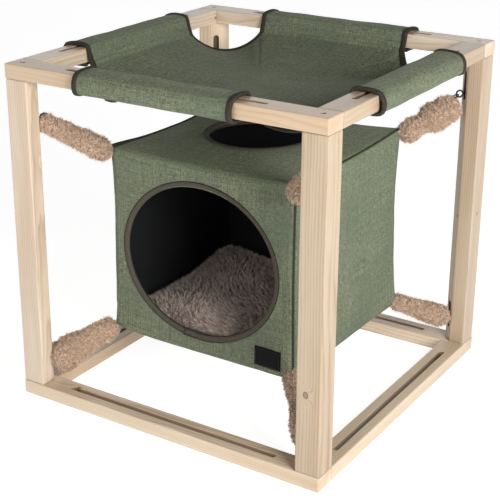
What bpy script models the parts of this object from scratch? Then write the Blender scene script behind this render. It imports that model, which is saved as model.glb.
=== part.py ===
"""Cat hammock: a pine cube frame, a cloth hammock sleeved on its top rails, and a fabric pod hung inside.

Metres, +Z up. The origin is on the floor under the middle of the frame. -Y is the front, the side of the
pod's doorway. The pod hangs by eight plush-covered elastic straps, hooked into screw eyes in the posts.
"""
import math

import bmesh
import bpy
from mathutils import Matrix, Vector

# Wooden frame
FRAME_SIDE = 0.500
RAIL_WIDTH = 0.036
RAIL_HEIGHT = 0.021
POST_SIDE = 0.036
POST_INSET = 0.0006
POST_CHAMFER = 0.013
EDGE_ROUND = 0.0016
TOUCH_GAP = 0.0003
TOP_SLOT_LENGTH = 0.314
BOTTOM_SLOT_LENGTH = 0.350
SLOT_WIDTH = 0.0085

# Fasteners
SCREW_INSET = 0.018
SCREW_LENGTH = 0.045
SCREW_RADIUS = 0.0022
SCREW_HEAD_RADIUS = 0.0038
SCREW_HEAD_HEIGHT = 0.0035
SCREW_SINK = 0.0030
HEX_RADIUS = 0.0021
HEX_DEPTH = 0.0020
BORE_PLAY = 0.0004
DOWEL_RADIUS = 0.0040
DOWEL_IN_LONG_RAIL = 0.012
DOWEL_IN_SIDE_RAIL = 0.016

# Grooves in the posts' chamfers, and the screw eyes in them
GROOVE_WIDTH = 0.0094
GROOVE_DEPTH = 0.007
GROOVE_LENGTH = 0.045
GROOVE_END_MARGIN = 0.043
EYE_RING_RADIUS = 0.005
EYE_WIRE_RADIUS = 0.00125
EYE_STANDOFF = 0.0075
EYE_THREAD = 0.008
UPPER_EYE_Z = 0.422
LOWER_EYE_Z = 0.055

# Strap hooks and straps
HOOK_RING_RADIUS = 0.0042
HOOK_WIRE_RADIUS = 0.0010
HOOK_STEM = 0.009
STRAP_HOLE_RADIUS = 0.0016
STRAP_RADIUS = 0.0170
UPPER_STRAP_DROOP = (0.005, 0.010)
LOWER_STRAP_DROOP = (-0.004, 0.000)
UPPER_STRAP_BACK_OFF = 0.006

# Pod: a fabric cube, widest at its corners, where the straps pull on it
POD_HALF_WIDTH = 0.1555
POD_BOTTOM_SPREAD = 0.0020
POD_BOTTOM_Z = 0.093
POD_TOP_Z = 0.377
POD_EDGE_ROUND = 0.009
POD_PULL_IN = 0.0042
POD_TOP_DIP = 0.008
POD_TOP_CROWN = 0.012
POD_BOTTOM_SAG = 0.004
COVER_THICKNESS = 0.0020
LINING_THICKNESS = 0.0030
LINING_GAP = 0.0006
DOOR_HALF_WIDTH = 0.128
DOOR_HALF_HEIGHT = 0.1145
DOOR_X = -0.0015
DOOR_Z = 0.2303
TOP_OPENING_RADIUS = 0.077
BINDING_WIDTH = 0.0078
BINDING_DEPTH = 0.0076
LABEL_SIZE = (0.042, 0.028)
LABEL_PLACE = (0.114, 0.1165)
LABEL_THICKNESS = 0.0010
LABEL_STANDOFF = 0.0008

# Cushion on the pod's floor
CUSHION_HALF_WIDTH = 0.141
CUSHION_DRAW_IN = 0.006
CUSHION_SIDE_HEIGHT = 0.028
CUSHION_CROWN = 0.040
CUSHION_LIFT_GAP = 0.0012

# Hammock sheet
SHEET_THICKNESS = 0.0020
FOLD_HALF_WIDTH = 0.200
FOLD_Z = 0.476
SLEEVE_HALF_LENGTH = 0.124
TRAY_MIDDLE_Z = 0.453
CUT_OUT_DROOP = 0.027
CUT_OUT_DEPTH = 0.004

CORNERS = {"back_right": 0, "back_left": 1, "front_left": 2, "front_right": 3}
QUARTER = math.pi / 2
HALF = FRAME_SIDE / 2


def clear_scene():
    for obj in list(bpy.data.objects):
        bpy.data.objects.remove(obj, do_unlink=True)


def material(name, color, roughness, metallic=0.0):
    mat = bpy.data.materials.new(name)
    mat.use_nodes = True
    shader = mat.node_tree.nodes["Principled BSDF"]
    shader.inputs["Base Color"].default_value = (*color, 1.0)
    shader.inputs["Roughness"].default_value = roughness
    shader.inputs["Metallic"].default_value = metallic
    return mat


def add_object(name, mesh, mat, location=(0, 0, 0), rotation=(0, 0, 0), parent=None):
    """One named piece. Copies of a piece share its mesh."""
    obj = bpy.data.objects.new(name, mesh)
    bpy.context.scene.collection.objects.link(obj)
    obj.location = location
    obj.rotation_euler = rotation
    obj.parent = parent
    if not mesh.materials:
        mesh.materials.append(mat)
    return obj


def to_mesh(bm, name, smooth=False):
    bmesh.ops.recalc_face_normals(bm, faces=bm.faces)
    mesh = bpy.data.meshes.new(name)
    bm.to_mesh(mesh)
    bm.free()
    if smooth:
        mesh.shade_smooth()
        mesh.set_sharp_from_angle(angle=math.radians(35))
    return mesh


def combine(name, base, steps, smooth=False):
    """Base mesh with each (operation, tool mesh) done on it in turn, as one closed mesh."""
    helpers = [bpy.data.objects.new(name + "_base", base)]
    bpy.context.scene.collection.objects.link(helpers[0])
    for operation, tool in steps:
        helper = bpy.data.objects.new(name + "_tool", tool)
        helper.hide_render = True
        helper.display_type = "WIRE"
        bpy.context.scene.collection.objects.link(helper)
        helpers.append(helper)
        modifier = helpers[0].modifiers.new(operation, "BOOLEAN")
        modifier.operation = operation
        modifier.solver = "EXACT"
        modifier.object = helper
    graph = bpy.context.evaluated_depsgraph_get()
    mesh = bpy.data.meshes.new_from_object(helpers[0].evaluated_get(graph))
    mesh.name = name
    for helper in helpers:
        bpy.data.objects.remove(helper, do_unlink=True)
    if smooth:
        mesh.shade_smooth()
        mesh.set_sharp_from_angle(angle=math.radians(35))
    return mesh


def rounded_box(bm, size, round_by, segments=2):
    """Box of the given size about the origin, with its edges rounded."""
    made = bmesh.ops.create_cube(bm, size=1.0)
    bmesh.ops.scale(bm, vec=size, verts=made["verts"])
    edges = list({edge for vert in made["verts"] for edge in vert.link_edges})
    bmesh.ops.bevel(bm, geom=edges, offset=round_by, segments=segments, profile=0.5, affect="EDGES")


def prism(bm, outline, low, high, place=Matrix()):
    """Closed prism over an outline of (x, y) points, from z=low to z=high, then moved by `place`."""
    bottom = [bm.verts.new(place @ Vector((x, y, low))) for x, y in outline]
    top = [bm.verts.new(place @ Vector((x, y, high))) for x, y in outline]
    count = len(outline)
    bm.faces.new(list(reversed(bottom)))
    bm.faces.new(top)
    for i in range(count):
        j = (i + 1) % count
        bm.faces.new((bottom[i], bottom[j], top[j], top[i]))


def slot_outline(length, width, steps=5):
    """Outline of a slot with round ends, along X."""
    points = []
    for end in (1, -1):
        for i in range(steps + 1):
            angle = end * QUARTER * (-1 + 2 * i / steps) if end > 0 else math.pi - QUARTER + math.pi * i / steps
            points.append((end * (length - width) / 2 + width / 2 * math.cos(angle), width / 2 * math.sin(angle)))
    return points


def circle_outline(radius, sides, turn=0.0):
    return [(radius * math.cos(turn + 2 * math.pi * i / sides), radius * math.sin(turn + 2 * math.pi * i / sides))
            for i in range(sides)]


def turned(bm, profile, sides, place=Matrix()):
    """Solid of revolution about Z from (radius, z) points, with flat ends."""
    rings = []
    for radius, z in profile:
        rings.append([bm.verts.new(place @ Vector((x, y, z))) for x, y in circle_outline(radius, sides)])
    for low, high in zip(rings, rings[1:]):
        for i in range(sides):
            j = (i + 1) % sides
            bm.faces.new((low[i], low[j], high[j], high[i]))
    bm.faces.new(list(reversed(rings[0])))
    bm.faces.new(rings[-1])


def ring(bm, center_line, section):
    """Closed tube round a closed line of (point, outward, across) frames, with a section of (out, across)."""
    loops = []
    for point, outward, across in center_line:
        loops.append([bm.verts.new(point + outward * out + across * side) for out, side in section])
    count = len(section)
    for i, loop in enumerate(loops):
        following = loops[(i + 1) % len(loops)]
        for a in range(count):
            b = (a + 1) % count
            bm.faces.new((loop[a], loop[b], following[b], following[a]))


def wire_ring(bm, radius, wire, steps, sides, normal_axis):
    """Round wire ring about the origin, square to Y or to Z."""
    line = []
    for i in range(steps):
        angle = 2 * math.pi * i / steps
        if normal_axis == "Y":
            outward, across = Vector((math.cos(angle), 0, math.sin(angle))), Vector((0, 1, 0))
        else:
            outward, across = Vector((math.cos(angle), math.sin(angle), 0)), Vector((0, 0, 1))
        line.append((outward * radius, outward, across))
    ring(bm, line, circle_outline(wire, sides, math.pi / sides))


ALONG_X = Matrix.Rotation(QUARTER, 4, "Y")
ALONG_Y = Matrix.Rotation(-QUARTER, 4, "X")


def long_rail_mesh(slot_length):
    """Front or back rail: its whole length along X, counterbored from above, with its inner face at +Y."""
    bm = bmesh.new()
    rounded_box(bm, (FRAME_SIDE, RAIL_WIDTH, RAIL_HEIGHT), EDGE_ROUND)
    cut = bmesh.new()
    prism(cut, slot_outline(slot_length, SLOT_WIDTH), -RAIL_HEIGHT, RAIL_HEIGHT)
    head_floor = RAIL_HEIGHT / 2 - SCREW_SINK - SCREW_HEAD_HEIGHT - TOUCH_GAP
    shank, head = SCREW_RADIUS + BORE_PLAY, SCREW_HEAD_RADIUS + BORE_PLAY
    profile = [(shank, -RAIL_HEIGHT), (shank, head_floor), (head, head_floor), (head, RAIL_HEIGHT)]
    for side in (-1, 1):
        turned(cut, profile, 12, Matrix.Translation((side * (HALF - SCREW_INSET), 0, 0)))
        bore = Matrix.Translation((side * (HALF - RAIL_WIDTH / 2), RAIL_WIDTH / 2, 0)) @ ALONG_Y
        depth = DOWEL_IN_LONG_RAIL + BORE_PLAY
        turned(cut, [(DOWEL_RADIUS + BORE_PLAY, -depth), (DOWEL_RADIUS + BORE_PLAY, depth)], 10, bore)
    return combine("long_rail", to_mesh(bm, "long_rail"), [("DIFFERENCE", to_mesh(cut, "cut"))], smooth=True)


def side_rail_mesh(slot_length):
    """Left or right rail: it fits between the long ones, and lies along Y."""
    length = FRAME_SIDE - 2 * RAIL_WIDTH - 2 * TOUCH_GAP
    bm = bmesh.new()
    rounded_box(bm, (RAIL_WIDTH, length, RAIL_HEIGHT), EDGE_ROUND)
    cut = bmesh.new()
    prism(cut, slot_outline(slot_length, SLOT_WIDTH), -RAIL_HEIGHT, RAIL_HEIGHT, Matrix.Rotation(QUARTER, 4, "Z"))
    depth = DOWEL_IN_SIDE_RAIL + BORE_PLAY
    for side in (-1, 1):
        bore = Matrix.Translation((0, side * length / 2, 0)) @ ALONG_Y
        turned(cut, [(DOWEL_RADIUS + BORE_PLAY, -depth), (DOWEL_RADIUS + BORE_PLAY, depth)], 10, bore)
    return combine("side_rail", to_mesh(bm, "side_rail"), [("DIFFERENCE", to_mesh(cut, "cut"))], smooth=True)


def chamfer_reach():
    """Distance along the diagonal from the post's axis to the face of its chamfer."""
    return (POST_SIDE - POST_CHAMFER) / math.sqrt(2)


def post_height():
    return FRAME_SIDE - 2 * RAIL_HEIGHT - 2 * TOUCH_GAP


def post_mesh():
    """Post about its own axis, from z=0 up, chamfered on its (-X, -Y) edge, where the grooves are."""
    half, leg = POST_SIDE / 2, POST_CHAMFER
    bm = bmesh.new()
    outline = [(half, -half), (half, half), (-half, half), (-half, leg - half), (leg - half, -half)]
    prism(bm, outline, 0, post_height())
    bmesh.ops.bevel(bm, geom=list(bm.edges), offset=EDGE_ROUND, segments=2, profile=0.5, affect="EDGES")
    base_z = RAIL_HEIGHT + TOUCH_GAP
    cut = bmesh.new()
    inward = Matrix.Rotation(5 * math.pi / 4, 4, "Z") @ ALONG_X
    outline = [(y, x) for x, y in slot_outline(GROOVE_LENGTH, GROOVE_WIDTH)]
    upright = Matrix.Rotation(QUARTER, 4, "Z")
    floor = chamfer_reach() - GROOVE_DEPTH
    for middle in (GROOVE_END_MARGIN + GROOVE_LENGTH / 2, FRAME_SIDE - GROOVE_END_MARGIN - GROOVE_LENGTH / 2):
        place = Matrix.Translation((0, 0, middle - base_z)) @ inward @ upright
        prism(cut, outline, floor, chamfer_reach() + GROOVE_DEPTH, place)
    bores = bmesh.new()
    for eye_z in (LOWER_EYE_Z, UPPER_EYE_Z):
        place = Matrix.Translation((0, 0, eye_z - base_z)) @ inward
        bore = EYE_WIRE_RADIUS + 2 * BORE_PLAY
        turned(bores, [(bore, floor - EYE_THREAD - BORE_PLAY), (bore, floor + BORE_PLAY)], 8, place)
    shank = SCREW_RADIUS + BORE_PLAY
    reach = SCREW_SINK + SCREW_LENGTH - RAIL_HEIGHT + BORE_PLAY
    axis = Matrix.Translation((screw_from_post(), screw_from_post(), 0))
    turned(bores, [(shank, -reach), (shank, reach)], 12, axis)
    turned(bores, [(shank, -reach), (shank, reach)], 12, Matrix.Translation((0, 0, post_height())) @ axis)
    steps = [("DIFFERENCE", to_mesh(cut, "cut")), ("DIFFERENCE", to_mesh(bores, "bores"))]
    return combine("post", to_mesh(bm, "post"), steps, smooth=True)


def post_axis():
    """Distance of a post's axis from the frame's middle planes."""
    return HALF - POST_INSET - POST_SIDE / 2


def screw_from_post():
    """How far a corner screw stands from its post's axis, along X and Y."""
    return HALF - SCREW_INSET - post_axis()


def screw_mesh():
    """Socket-head screw, pointing down from z=0 at the top of its head."""
    bm = bmesh.new()
    top = -SCREW_HEAD_HEIGHT
    turned(bm, [(SCREW_RADIUS, -SCREW_LENGTH), (SCREW_RADIUS, top), (SCREW_HEAD_RADIUS, top),
                (SCREW_HEAD_RADIUS, 0)], 12)
    cut = bmesh.new()
    prism(cut, circle_outline(HEX_RADIUS, 6), -HEX_DEPTH, HEX_DEPTH)
    return combine("corner_screw", to_mesh(bm, "screw"), [("DIFFERENCE", to_mesh(cut, "cut"))], smooth=True)


def dowel_mesh():
    """Dowel along Y, with y=0 where the two rails meet."""
    bm = bmesh.new()
    turned(bm, [(DOWEL_RADIUS, -DOWEL_IN_LONG_RAIL + BORE_PLAY), (DOWEL_RADIUS, DOWEL_IN_SIDE_RAIL - BORE_PLAY)],
           10, ALONG_Y)
    return to_mesh(bm, "dowel", smooth=True)


def eye_mesh():
    """Screw eye about its ring's centre, with its shank along +X and its ring square to Y."""
    bm = bmesh.new()
    wire_ring(bm, EYE_RING_RADIUS, EYE_WIRE_RADIUS, 14, 6, "Y")
    shank = bmesh.new()
    tip = EYE_STANDOFF + GROOVE_DEPTH + EYE_THREAD
    turned(shank, [(EYE_WIRE_RADIUS, EYE_RING_RADIUS), (EYE_WIRE_RADIUS, tip)], 8, ALONG_X)
    return combine("screw_eye", to_mesh(bm, "eye"), [("UNION", to_mesh(shank, "shank"))], smooth=True)


def hook_ring_distance():
    """How far a taut hook's ring stands from the middle of the eye that it pulls on."""
    return EYE_RING_RADIUS - EYE_WIRE_RADIUS - HOOK_WIRE_RADIUS + HOOK_RING_RADIUS - 2 * TOUCH_GAP


def hook_mesh():
    """Strap hook about the middle of its eye: a ring linked through the eye, and a stem along -X."""
    middle = hook_ring_distance()
    bm = bmesh.new()
    wire_ring(bm, HOOK_RING_RADIUS, HOOK_WIRE_RADIUS, 14, 6, "Z")
    bmesh.ops.translate(bm, vec=(-middle, 0, 0), verts=bm.verts)
    stem = bmesh.new()
    start = middle + HOOK_RING_RADIUS
    turned(stem, [(HOOK_WIRE_RADIUS, -start - HOOK_STEM), (HOOK_WIRE_RADIUS, -start)], 8, ALONG_X)
    return combine("strap_hook", to_mesh(bm, "hook"), [("UNION", to_mesh(stem, "stem"))], smooth=True)


def strap_mesh(length, droop):
    """Plush strap about the middle of its eye, along -X, with a hole for the hook's stem, `length` long.

    The elastic cord runs straight from the hook, and the plush hangs from it by `droop` at its two ends.
    """
    start = hook_ring_distance() + HOOK_RING_RADIUS + HOOK_WIRE_RADIUS + TOUCH_GAP
    lumps = [(0.00, 0.60), (0.08, 0.98), (0.30, 1.08), (0.52, 0.94), (0.74, 1.06), (0.93, 0.86), (1.00, 0.50)]
    bm = bmesh.new()
    turned(bm, [(STRAP_HOLE_RADIUS, -start - HOOK_STEM), (STRAP_HOLE_RADIUS, -start)]
           + [(STRAP_RADIUS * swell, -(start + share * length)) for share, swell in lumps], 10, ALONG_X)
    for vert in bm.verts:
        share = (-vert.co.x - start) / length
        if math.hypot(vert.co.y, vert.co.z) > 2 * STRAP_HOLE_RADIUS:
            vert.co.z -= droop[0] + (droop[1] - droop[0]) * share
    return to_mesh(bm, "strap", smooth=True)


def corner_pull(eye_z):
    """Direction from an eye to its pod corner, as (run, rise), and the plush strap's length there."""
    upper = eye_z > (POD_BOTTOM_Z + POD_TOP_Z) / 2
    corner = POD_HALF_WIDTH + (-POD_BOTTOM_SPREAD if upper else POD_BOTTOM_SPREAD) - POD_EDGE_ROUND
    core_z = POD_TOP_Z - POD_EDGE_ROUND if upper else POD_BOTTOM_Z + POD_EDGE_ROUND
    run, rise = corner * math.sqrt(2) - eye_reach(), core_z - eye_z
    distance = math.hypot(run, rise)
    start = hook_ring_distance() + HOOK_RING_RADIUS + HOOK_WIRE_RADIUS + TOUCH_GAP
    back_off = UPPER_STRAP_BACK_OFF if upper else 0.0
    return run / distance, rise / distance, distance - POD_EDGE_ROUND - 2 * TOUCH_GAP - start - back_off


def eye_reach():
    """Distance of an eye's middle from the frame's upright centre line."""
    return post_axis() * math.sqrt(2) - chamfer_reach() - EYE_STANDOFF


def pod_point(place, inset):
    """Point of the pod's skin, `inset` deep, for a place on a cube of side 2."""
    middle_z = (POD_BOTTOM_Z + POD_TOP_Z) / 2
    half = Vector((POD_HALF_WIDTH, POD_HALF_WIDTH, (POD_TOP_Z - POD_BOTTOM_Z) / 2))
    sharp = Vector([p * h for p, h in zip(place, half)])
    core = Vector([max(POD_EDGE_ROUND - h, min(h - POD_EDGE_ROUND, s)) for s, h in zip(sharp, half)])
    sharp = core + (sharp - core).normalized() * (POD_EDGE_ROUND - inset)
    sharp.x *= pod_spread(place[1], place[2]) / half.x
    sharp.y *= pod_spread(place[0], place[2]) / half.y
    sharp.z += pod_sag(place[0], place[1], place[2])
    return sharp + Vector((0, 0, middle_z))


def pod_spread(along, height):
    """Half-width of the pod at a place along a side and up it, both from -1 to 1."""
    return POD_HALF_WIDTH - POD_BOTTOM_SPREAD * height - POD_PULL_IN * (1 - (along * height) ** 2)


def pod_sag(u, v, height):
    """Shift of the pod's skin in height: its top dips and its bottom sags between the corners."""
    if height < 0:
        return POD_BOTTOM_SAG * height * (1 - (u * v) ** 2)
    return height * (POD_TOP_CROWN * (1 - u * u) * (1 - v * v) - POD_TOP_DIP * (1 - (u * v) ** 2))


def pod_skin(bm, inset):
    """One closed skin of the pod: a cube's six gridded faces, shaped by pod_point."""
    edge = 1 - POD_EDGE_ROUND / POD_HALF_WIDTH
    stops = [-1, -edge, -0.5, 0, 0.5, edge, 1]
    for axis in range(3):
        for side in (-1, 1):
            grid = []
            for a in stops:
                row = []
                for b in stops:
                    place = [0, 0, 0]
                    place[axis], place[(axis + 1) % 3], place[(axis + 2) % 3] = side, a, b
                    row.append(bm.verts.new(pod_point(place, inset)))
                grid.append(row)
            for i in range(len(stops) - 1):
                for j in range(len(stops) - 1):
                    low, right, far, left = grid[i][j], grid[i + 1][j], grid[i + 1][j + 1], grid[i][j + 1]
                    for corners in ((low, right, far), (low, far, left)):
                        bm.faces.new(corners if side > 0 else reversed(corners))
    bmesh.ops.remove_doubles(bm, verts=bm.verts, dist=1e-5)


def pod_front_y(x, z):
    """Depth of the pod's front face at (x, z)."""
    half_height = (POD_TOP_Z - POD_BOTTOM_Z) / 2
    return -pod_spread(x / POD_HALF_WIDTH, (z - POD_BOTTOM_Z - half_height) / half_height)


def pod_top_z(x, y):
    """Height of the pod's top face at (x, y)."""
    return POD_TOP_Z + pod_sag(x / POD_HALF_WIDTH, y / POD_HALF_WIDTH, 1)


DOOR_STEPS = 32
TOP_STEPS = 28


def door_outline(grow):
    """Door's outline as (x, z) points, its edge moved outwards by `grow`."""
    return [((DOOR_HALF_WIDTH + grow) * x, (DOOR_HALF_HEIGHT + grow) * z) for x, z in circle_outline(1, DOOR_STEPS)]


def opening_cuts():
    """Cutters for the doorway in the front wall and the round opening in the top."""
    front = bmesh.new()
    place = Matrix.Translation((DOOR_X, -POD_HALF_WIDTH, DOOR_Z)) @ Matrix.Rotation(QUARTER, 4, "X")
    prism(front, door_outline(TOUCH_GAP), -0.03, 0.03, place)
    top = bmesh.new()
    place = Matrix.Translation((0, 0, POD_TOP_Z))
    prism(top, circle_outline(TOP_OPENING_RADIUS + TOUCH_GAP, TOP_STEPS), -0.03, 0.03, place)
    return [("DIFFERENCE", to_mesh(front, "door_cut")), ("DIFFERENCE", to_mesh(top, "top_cut"))]


def shell_mesh(name, outside, inside):
    """Hollow skin of the pod between two depths, open at the doorway and at the top."""
    bm = bmesh.new()
    pod_skin(bm, outside)
    outer_faces = list(bm.faces)
    inner = bmesh.new()
    pod_skin(inner, inside)
    bmesh.ops.reverse_faces(inner, faces=inner.faces)
    inner_mesh = bpy.data.meshes.new("inner")
    inner.to_mesh(inner_mesh)
    inner.free()
    assert outer_faces
    bm.from_mesh(inner_mesh)
    mesh = bpy.data.meshes.new(name)
    bm.to_mesh(mesh)
    bm.free()
    return combine(name, mesh, opening_cuts())


def binding_section(width, depth):
    """Rounded binding section as (out, across) points; it lies inside the opening's edge."""
    cut = 0.3
    w, d = width / 2, depth / 2
    corners = [(w, -d * (1 - cut * 2)), (w, d * (1 - cut * 2)), (w * cut, d), (-w * cut, d),
               (-w, d * cut), (-w, -d * cut), (-w * cut, -d), (w * cut, -d)]
    return [(out - w, across) for out, across in corners]


def door_binding_mesh():
    line = []
    for x, z in door_outline(0):
        outward = Vector((x / DOOR_HALF_WIDTH ** 2, 0, z / DOOR_HALF_HEIGHT ** 2)).normalized()
        wall_middle = pod_front_y(x + DOOR_X, z + DOOR_Z) + (COVER_THICKNESS + LINING_THICKNESS) / 2
        line.append((Vector((x + DOOR_X, wall_middle, z + DOOR_Z)), outward, Vector((0, 1, 0))))
    bm = bmesh.new()
    ring(bm, line, binding_section(BINDING_WIDTH, BINDING_DEPTH))
    return to_mesh(bm, "door_binding", smooth=True)


def top_binding_mesh():
    line = []
    for x, y in circle_outline(TOP_OPENING_RADIUS, TOP_STEPS):
        outward = Vector((x, y, 0)).normalized()
        wall_middle = pod_top_z(x, y) - (COVER_THICKNESS + LINING_THICKNESS) / 2
        line.append((Vector((x, y, wall_middle)), outward, Vector((0, 0, 1))))
    bm = bmesh.new()
    ring(bm, line, binding_section(BINDING_WIDTH, BINDING_DEPTH))
    return to_mesh(bm, "top_opening_binding", smooth=True)


def label_mesh():
    """Blank woven label, curved like the lower right of the pod's front face."""
    bm = bmesh.new()
    columns, rows = 4, 3
    layers = []
    for depth in (LABEL_STANDOFF, LABEL_STANDOFF + LABEL_THICKNESS):
        grid = []
        for i in range(columns + 1):
            x = LABEL_PLACE[0] + LABEL_SIZE[0] * (i / columns - 0.5)
            grid.append([])
            for j in range(rows + 1):
                z = LABEL_PLACE[1] + LABEL_SIZE[1] * (j / rows - 0.5)
                grid[i].append(bm.verts.new((x, pod_front_y(x, z) - depth, z)))
        layers.append(grid)
    inner, outer = layers
    for i in range(columns):
        for j in range(rows):
            for grid in layers:
                bm.faces.new((grid[i][j], grid[i + 1][j], grid[i + 1][j + 1], grid[i][j + 1]))
    rim = [(i, 0) for i in range(columns)] + [(columns, j) for j in range(rows)]
    rim += [(i, rows) for i in range(columns, 0, -1)] + [(0, j) for j in range(rows, 0, -1)]
    for (i, j), (k, m) in zip(rim, rim[1:] + rim[:1]):
        bm.faces.new((inner[i][j], inner[k][m], outer[k][m], outer[i][j]))
    return to_mesh(bm, "blank_label")


def cushion_mesh():
    """Plush cushion: crowned above, sagging with the pod's floor, its sides drawn in between its corners."""
    floor_z = POD_BOTTOM_Z + COVER_THICKNESS + LINING_GAP + LINING_THICKNESS + CUSHION_LIFT_GAP
    steps = 10
    round_by = 0.010
    stops = [math.sin(QUARTER * (2 * i / steps - 1)) for i in range(steps + 1)]
    bm = bmesh.new()
    top, bottom = [], []
    for u in stops:
        top.append([])
        bottom.append([])
        for v in stops:
            x = u * (CUSHION_HALF_WIDTH - CUSHION_DRAW_IN * (1 - v * v))
            y = v * (CUSHION_HALF_WIDTH - CUSHION_DRAW_IN * (1 - u * u))
            rim = (1 - u ** 8) * (1 - v ** 8)
            crown = (1 - u * u) * (1 - v * v)
            height = CUSHION_SIDE_HEIGHT + (CUSHION_CROWN - CUSHION_SIDE_HEIGHT) * (0.75 * rim + 0.25 * crown)
            top[-1].append(bm.verts.new((x, y, floor_z + height)))
            x, y = x * (1 - round_by / CUSHION_HALF_WIDTH), y * (1 - round_by / CUSHION_HALF_WIDTH)
            sag = pod_sag(x / POD_HALF_WIDTH, y / POD_HALF_WIDTH, -1)
            bottom[-1].append(bm.verts.new((x, y, floor_z + sag)))
    for i in range(steps):
        for j in range(steps):
            for grid in (top, bottom):
                bm.faces.new((grid[i][j], grid[i + 1][j], grid[i + 1][j + 1], grid[i][j + 1]))
    rim = [(i, 0) for i in range(steps)] + [(steps, j) for j in range(steps)]
    rim += [(i, steps) for i in range(steps, 0, -1)] + [(0, j) for j in range(steps, 0, -1)]
    for (i, j), (k, m) in zip(rim, rim[1:] + rim[:1]):
        bm.faces.new((bottom[i][j], bottom[k][m], top[k][m], top[i][j]))
    return to_mesh(bm, "cushion", smooth=True)


# Section of a sleeve round its rail, from the tray's fold over the rail to the free edge under it:
# (distance outside the rail's outer face, height over the floor)
SLEEVE_SECTION = [(-0.0436, 0.4835), (-0.0404, 0.4915), (-0.0386, 0.4990), (-0.0333, 0.5038), (-0.0200, 0.5047),
                  (-0.0090, 0.5042), (0.0002, 0.5016), (0.0050, 0.4955), (0.0066, 0.4880), (0.0058, 0.4810),
                  (0.0022, 0.4764), (-0.0060, 0.4748), (-0.0330, 0.4752)]


def hammock_mesh():
    """The hammock: a sagging tray with a cut-out at each corner, and a sleeve over each rail."""
    fold, sleeve = FOLD_HALF_WIDTH, SLEEVE_HALF_LENGTH
    fold_steps, cut_steps, shells = 6, 6, 5
    edge, folds = [], []
    for quarter in range(4):
        turn = Matrix.Rotation(quarter * QUARTER, 3, "Z")
        folds.append(len(edge))
        for i in range(fold_steps):
            edge.append(turn @ Vector((fold, sleeve * (2 * i / fold_steps - 1), FOLD_Z)))
        for i in range(cut_steps):
            share = i / cut_steps
            bow = 4 * share * (1 - share)
            inward = CUT_OUT_DEPTH * bow / math.sqrt(2)
            x = fold + (sleeve - fold) * share - inward
            y = sleeve + (fold - sleeve) * share - inward
            edge.append(turn @ Vector((x, y, FOLD_Z - CUT_OUT_DROOP * bow)))
    bm = bmesh.new()
    loops = []
    for shell in range(shells):
        share = 1 - shell / shells
        loops.append([bm.verts.new((p.x * share, p.y * share, TRAY_MIDDLE_Z + (p.z - TRAY_MIDDLE_Z) * share ** 3))
                      for p in edge])
    middle = bm.verts.new((0, 0, TRAY_MIDDLE_Z))
    count = len(edge)
    for outer, inner in zip(loops, loops[1:]):
        for i in range(count):
            j = (i + 1) % count
            bm.faces.new((outer[i], outer[j], inner[j], inner[i]))
    for i in range(count):
        bm.faces.new((loops[-1][i], loops[-1][(i + 1) % count], middle))
    for quarter, first in enumerate(folds):
        turn = Matrix.Rotation(quarter * QUARTER, 3, "Z")
        row = [loops[0][(first + i) % count] for i in range(fold_steps + 1)]
        for out, z in SLEEVE_SECTION:
            following = []
            for i in range(fold_steps + 1):
                point = turn @ Vector((HALF + out, sleeve * (2 * i / fold_steps - 1), 0))
                following.append(bm.verts.new((point.x, point.y, z)))
            for i in range(fold_steps):
                bm.faces.new((row[i], following[i], following[i + 1], row[i + 1]))
            row = following
    return to_mesh(bm, "hammock_sheet")


def build_frame(parent, pine, steel, birch):
    post, screw, dowel = post_mesh(), screw_mesh(), dowel_mesh()
    across = HALF - RAIL_WIDTH / 2
    for level, z, over in (("bottom", RAIL_HEIGHT / 2, math.pi), ("top", FRAME_SIDE - RAIL_HEIGHT / 2, 0.0)):
        slot_length = BOTTOM_SLOT_LENGTH if level == "bottom" else TOP_SLOT_LENGTH
        long_rail, side_rail = long_rail_mesh(slot_length), side_rail_mesh(slot_length)
        add_object(level + "_rail_front", long_rail, pine, (0, -across, z), (0, over, 0), parent)
        add_object(level + "_rail_back", long_rail, pine, (0, across, z), (0, over, math.pi), parent)
        add_object(level + "_rail_left", side_rail, pine, (-across, 0, z), (0, 0, 0), parent)
        add_object(level + "_rail_right", side_rail, pine, (across, 0, z), (0, 0, 0), parent)
        for corner, quarter in CORNERS.items():
            turn = Matrix.Rotation(quarter * QUARTER, 3, "Z")
            spot = turn @ Vector((HALF - SCREW_INSET, HALF - SCREW_INSET, 0))
            head_z = SCREW_SINK if level == "bottom" else FRAME_SIDE - SCREW_SINK
            name = level + "_screw_" + corner
            add_object(name, screw, steel, (spot.x, spot.y, head_z), (over, 0, 0), parent)
            seam = (across * (1 if spot.x > 0 else -1), (HALF - RAIL_WIDTH) * (1 if spot.y > 0 else -1), z)
            facing = math.pi if spot.y > 0 else 0.0
            add_object(level + "_dowel_" + corner, dowel, birch, seam, (0, 0, facing), parent)
    for corner, quarter in CORNERS.items():
        spot = Matrix.Rotation(quarter * QUARTER, 3, "Z") @ Vector((post_axis(), post_axis(), 0))
        place = (spot.x, spot.y, RAIL_HEIGHT + TOUCH_GAP)
        add_object("post_" + corner, post, pine, place, (0, 0, quarter * QUARTER), parent)


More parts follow.
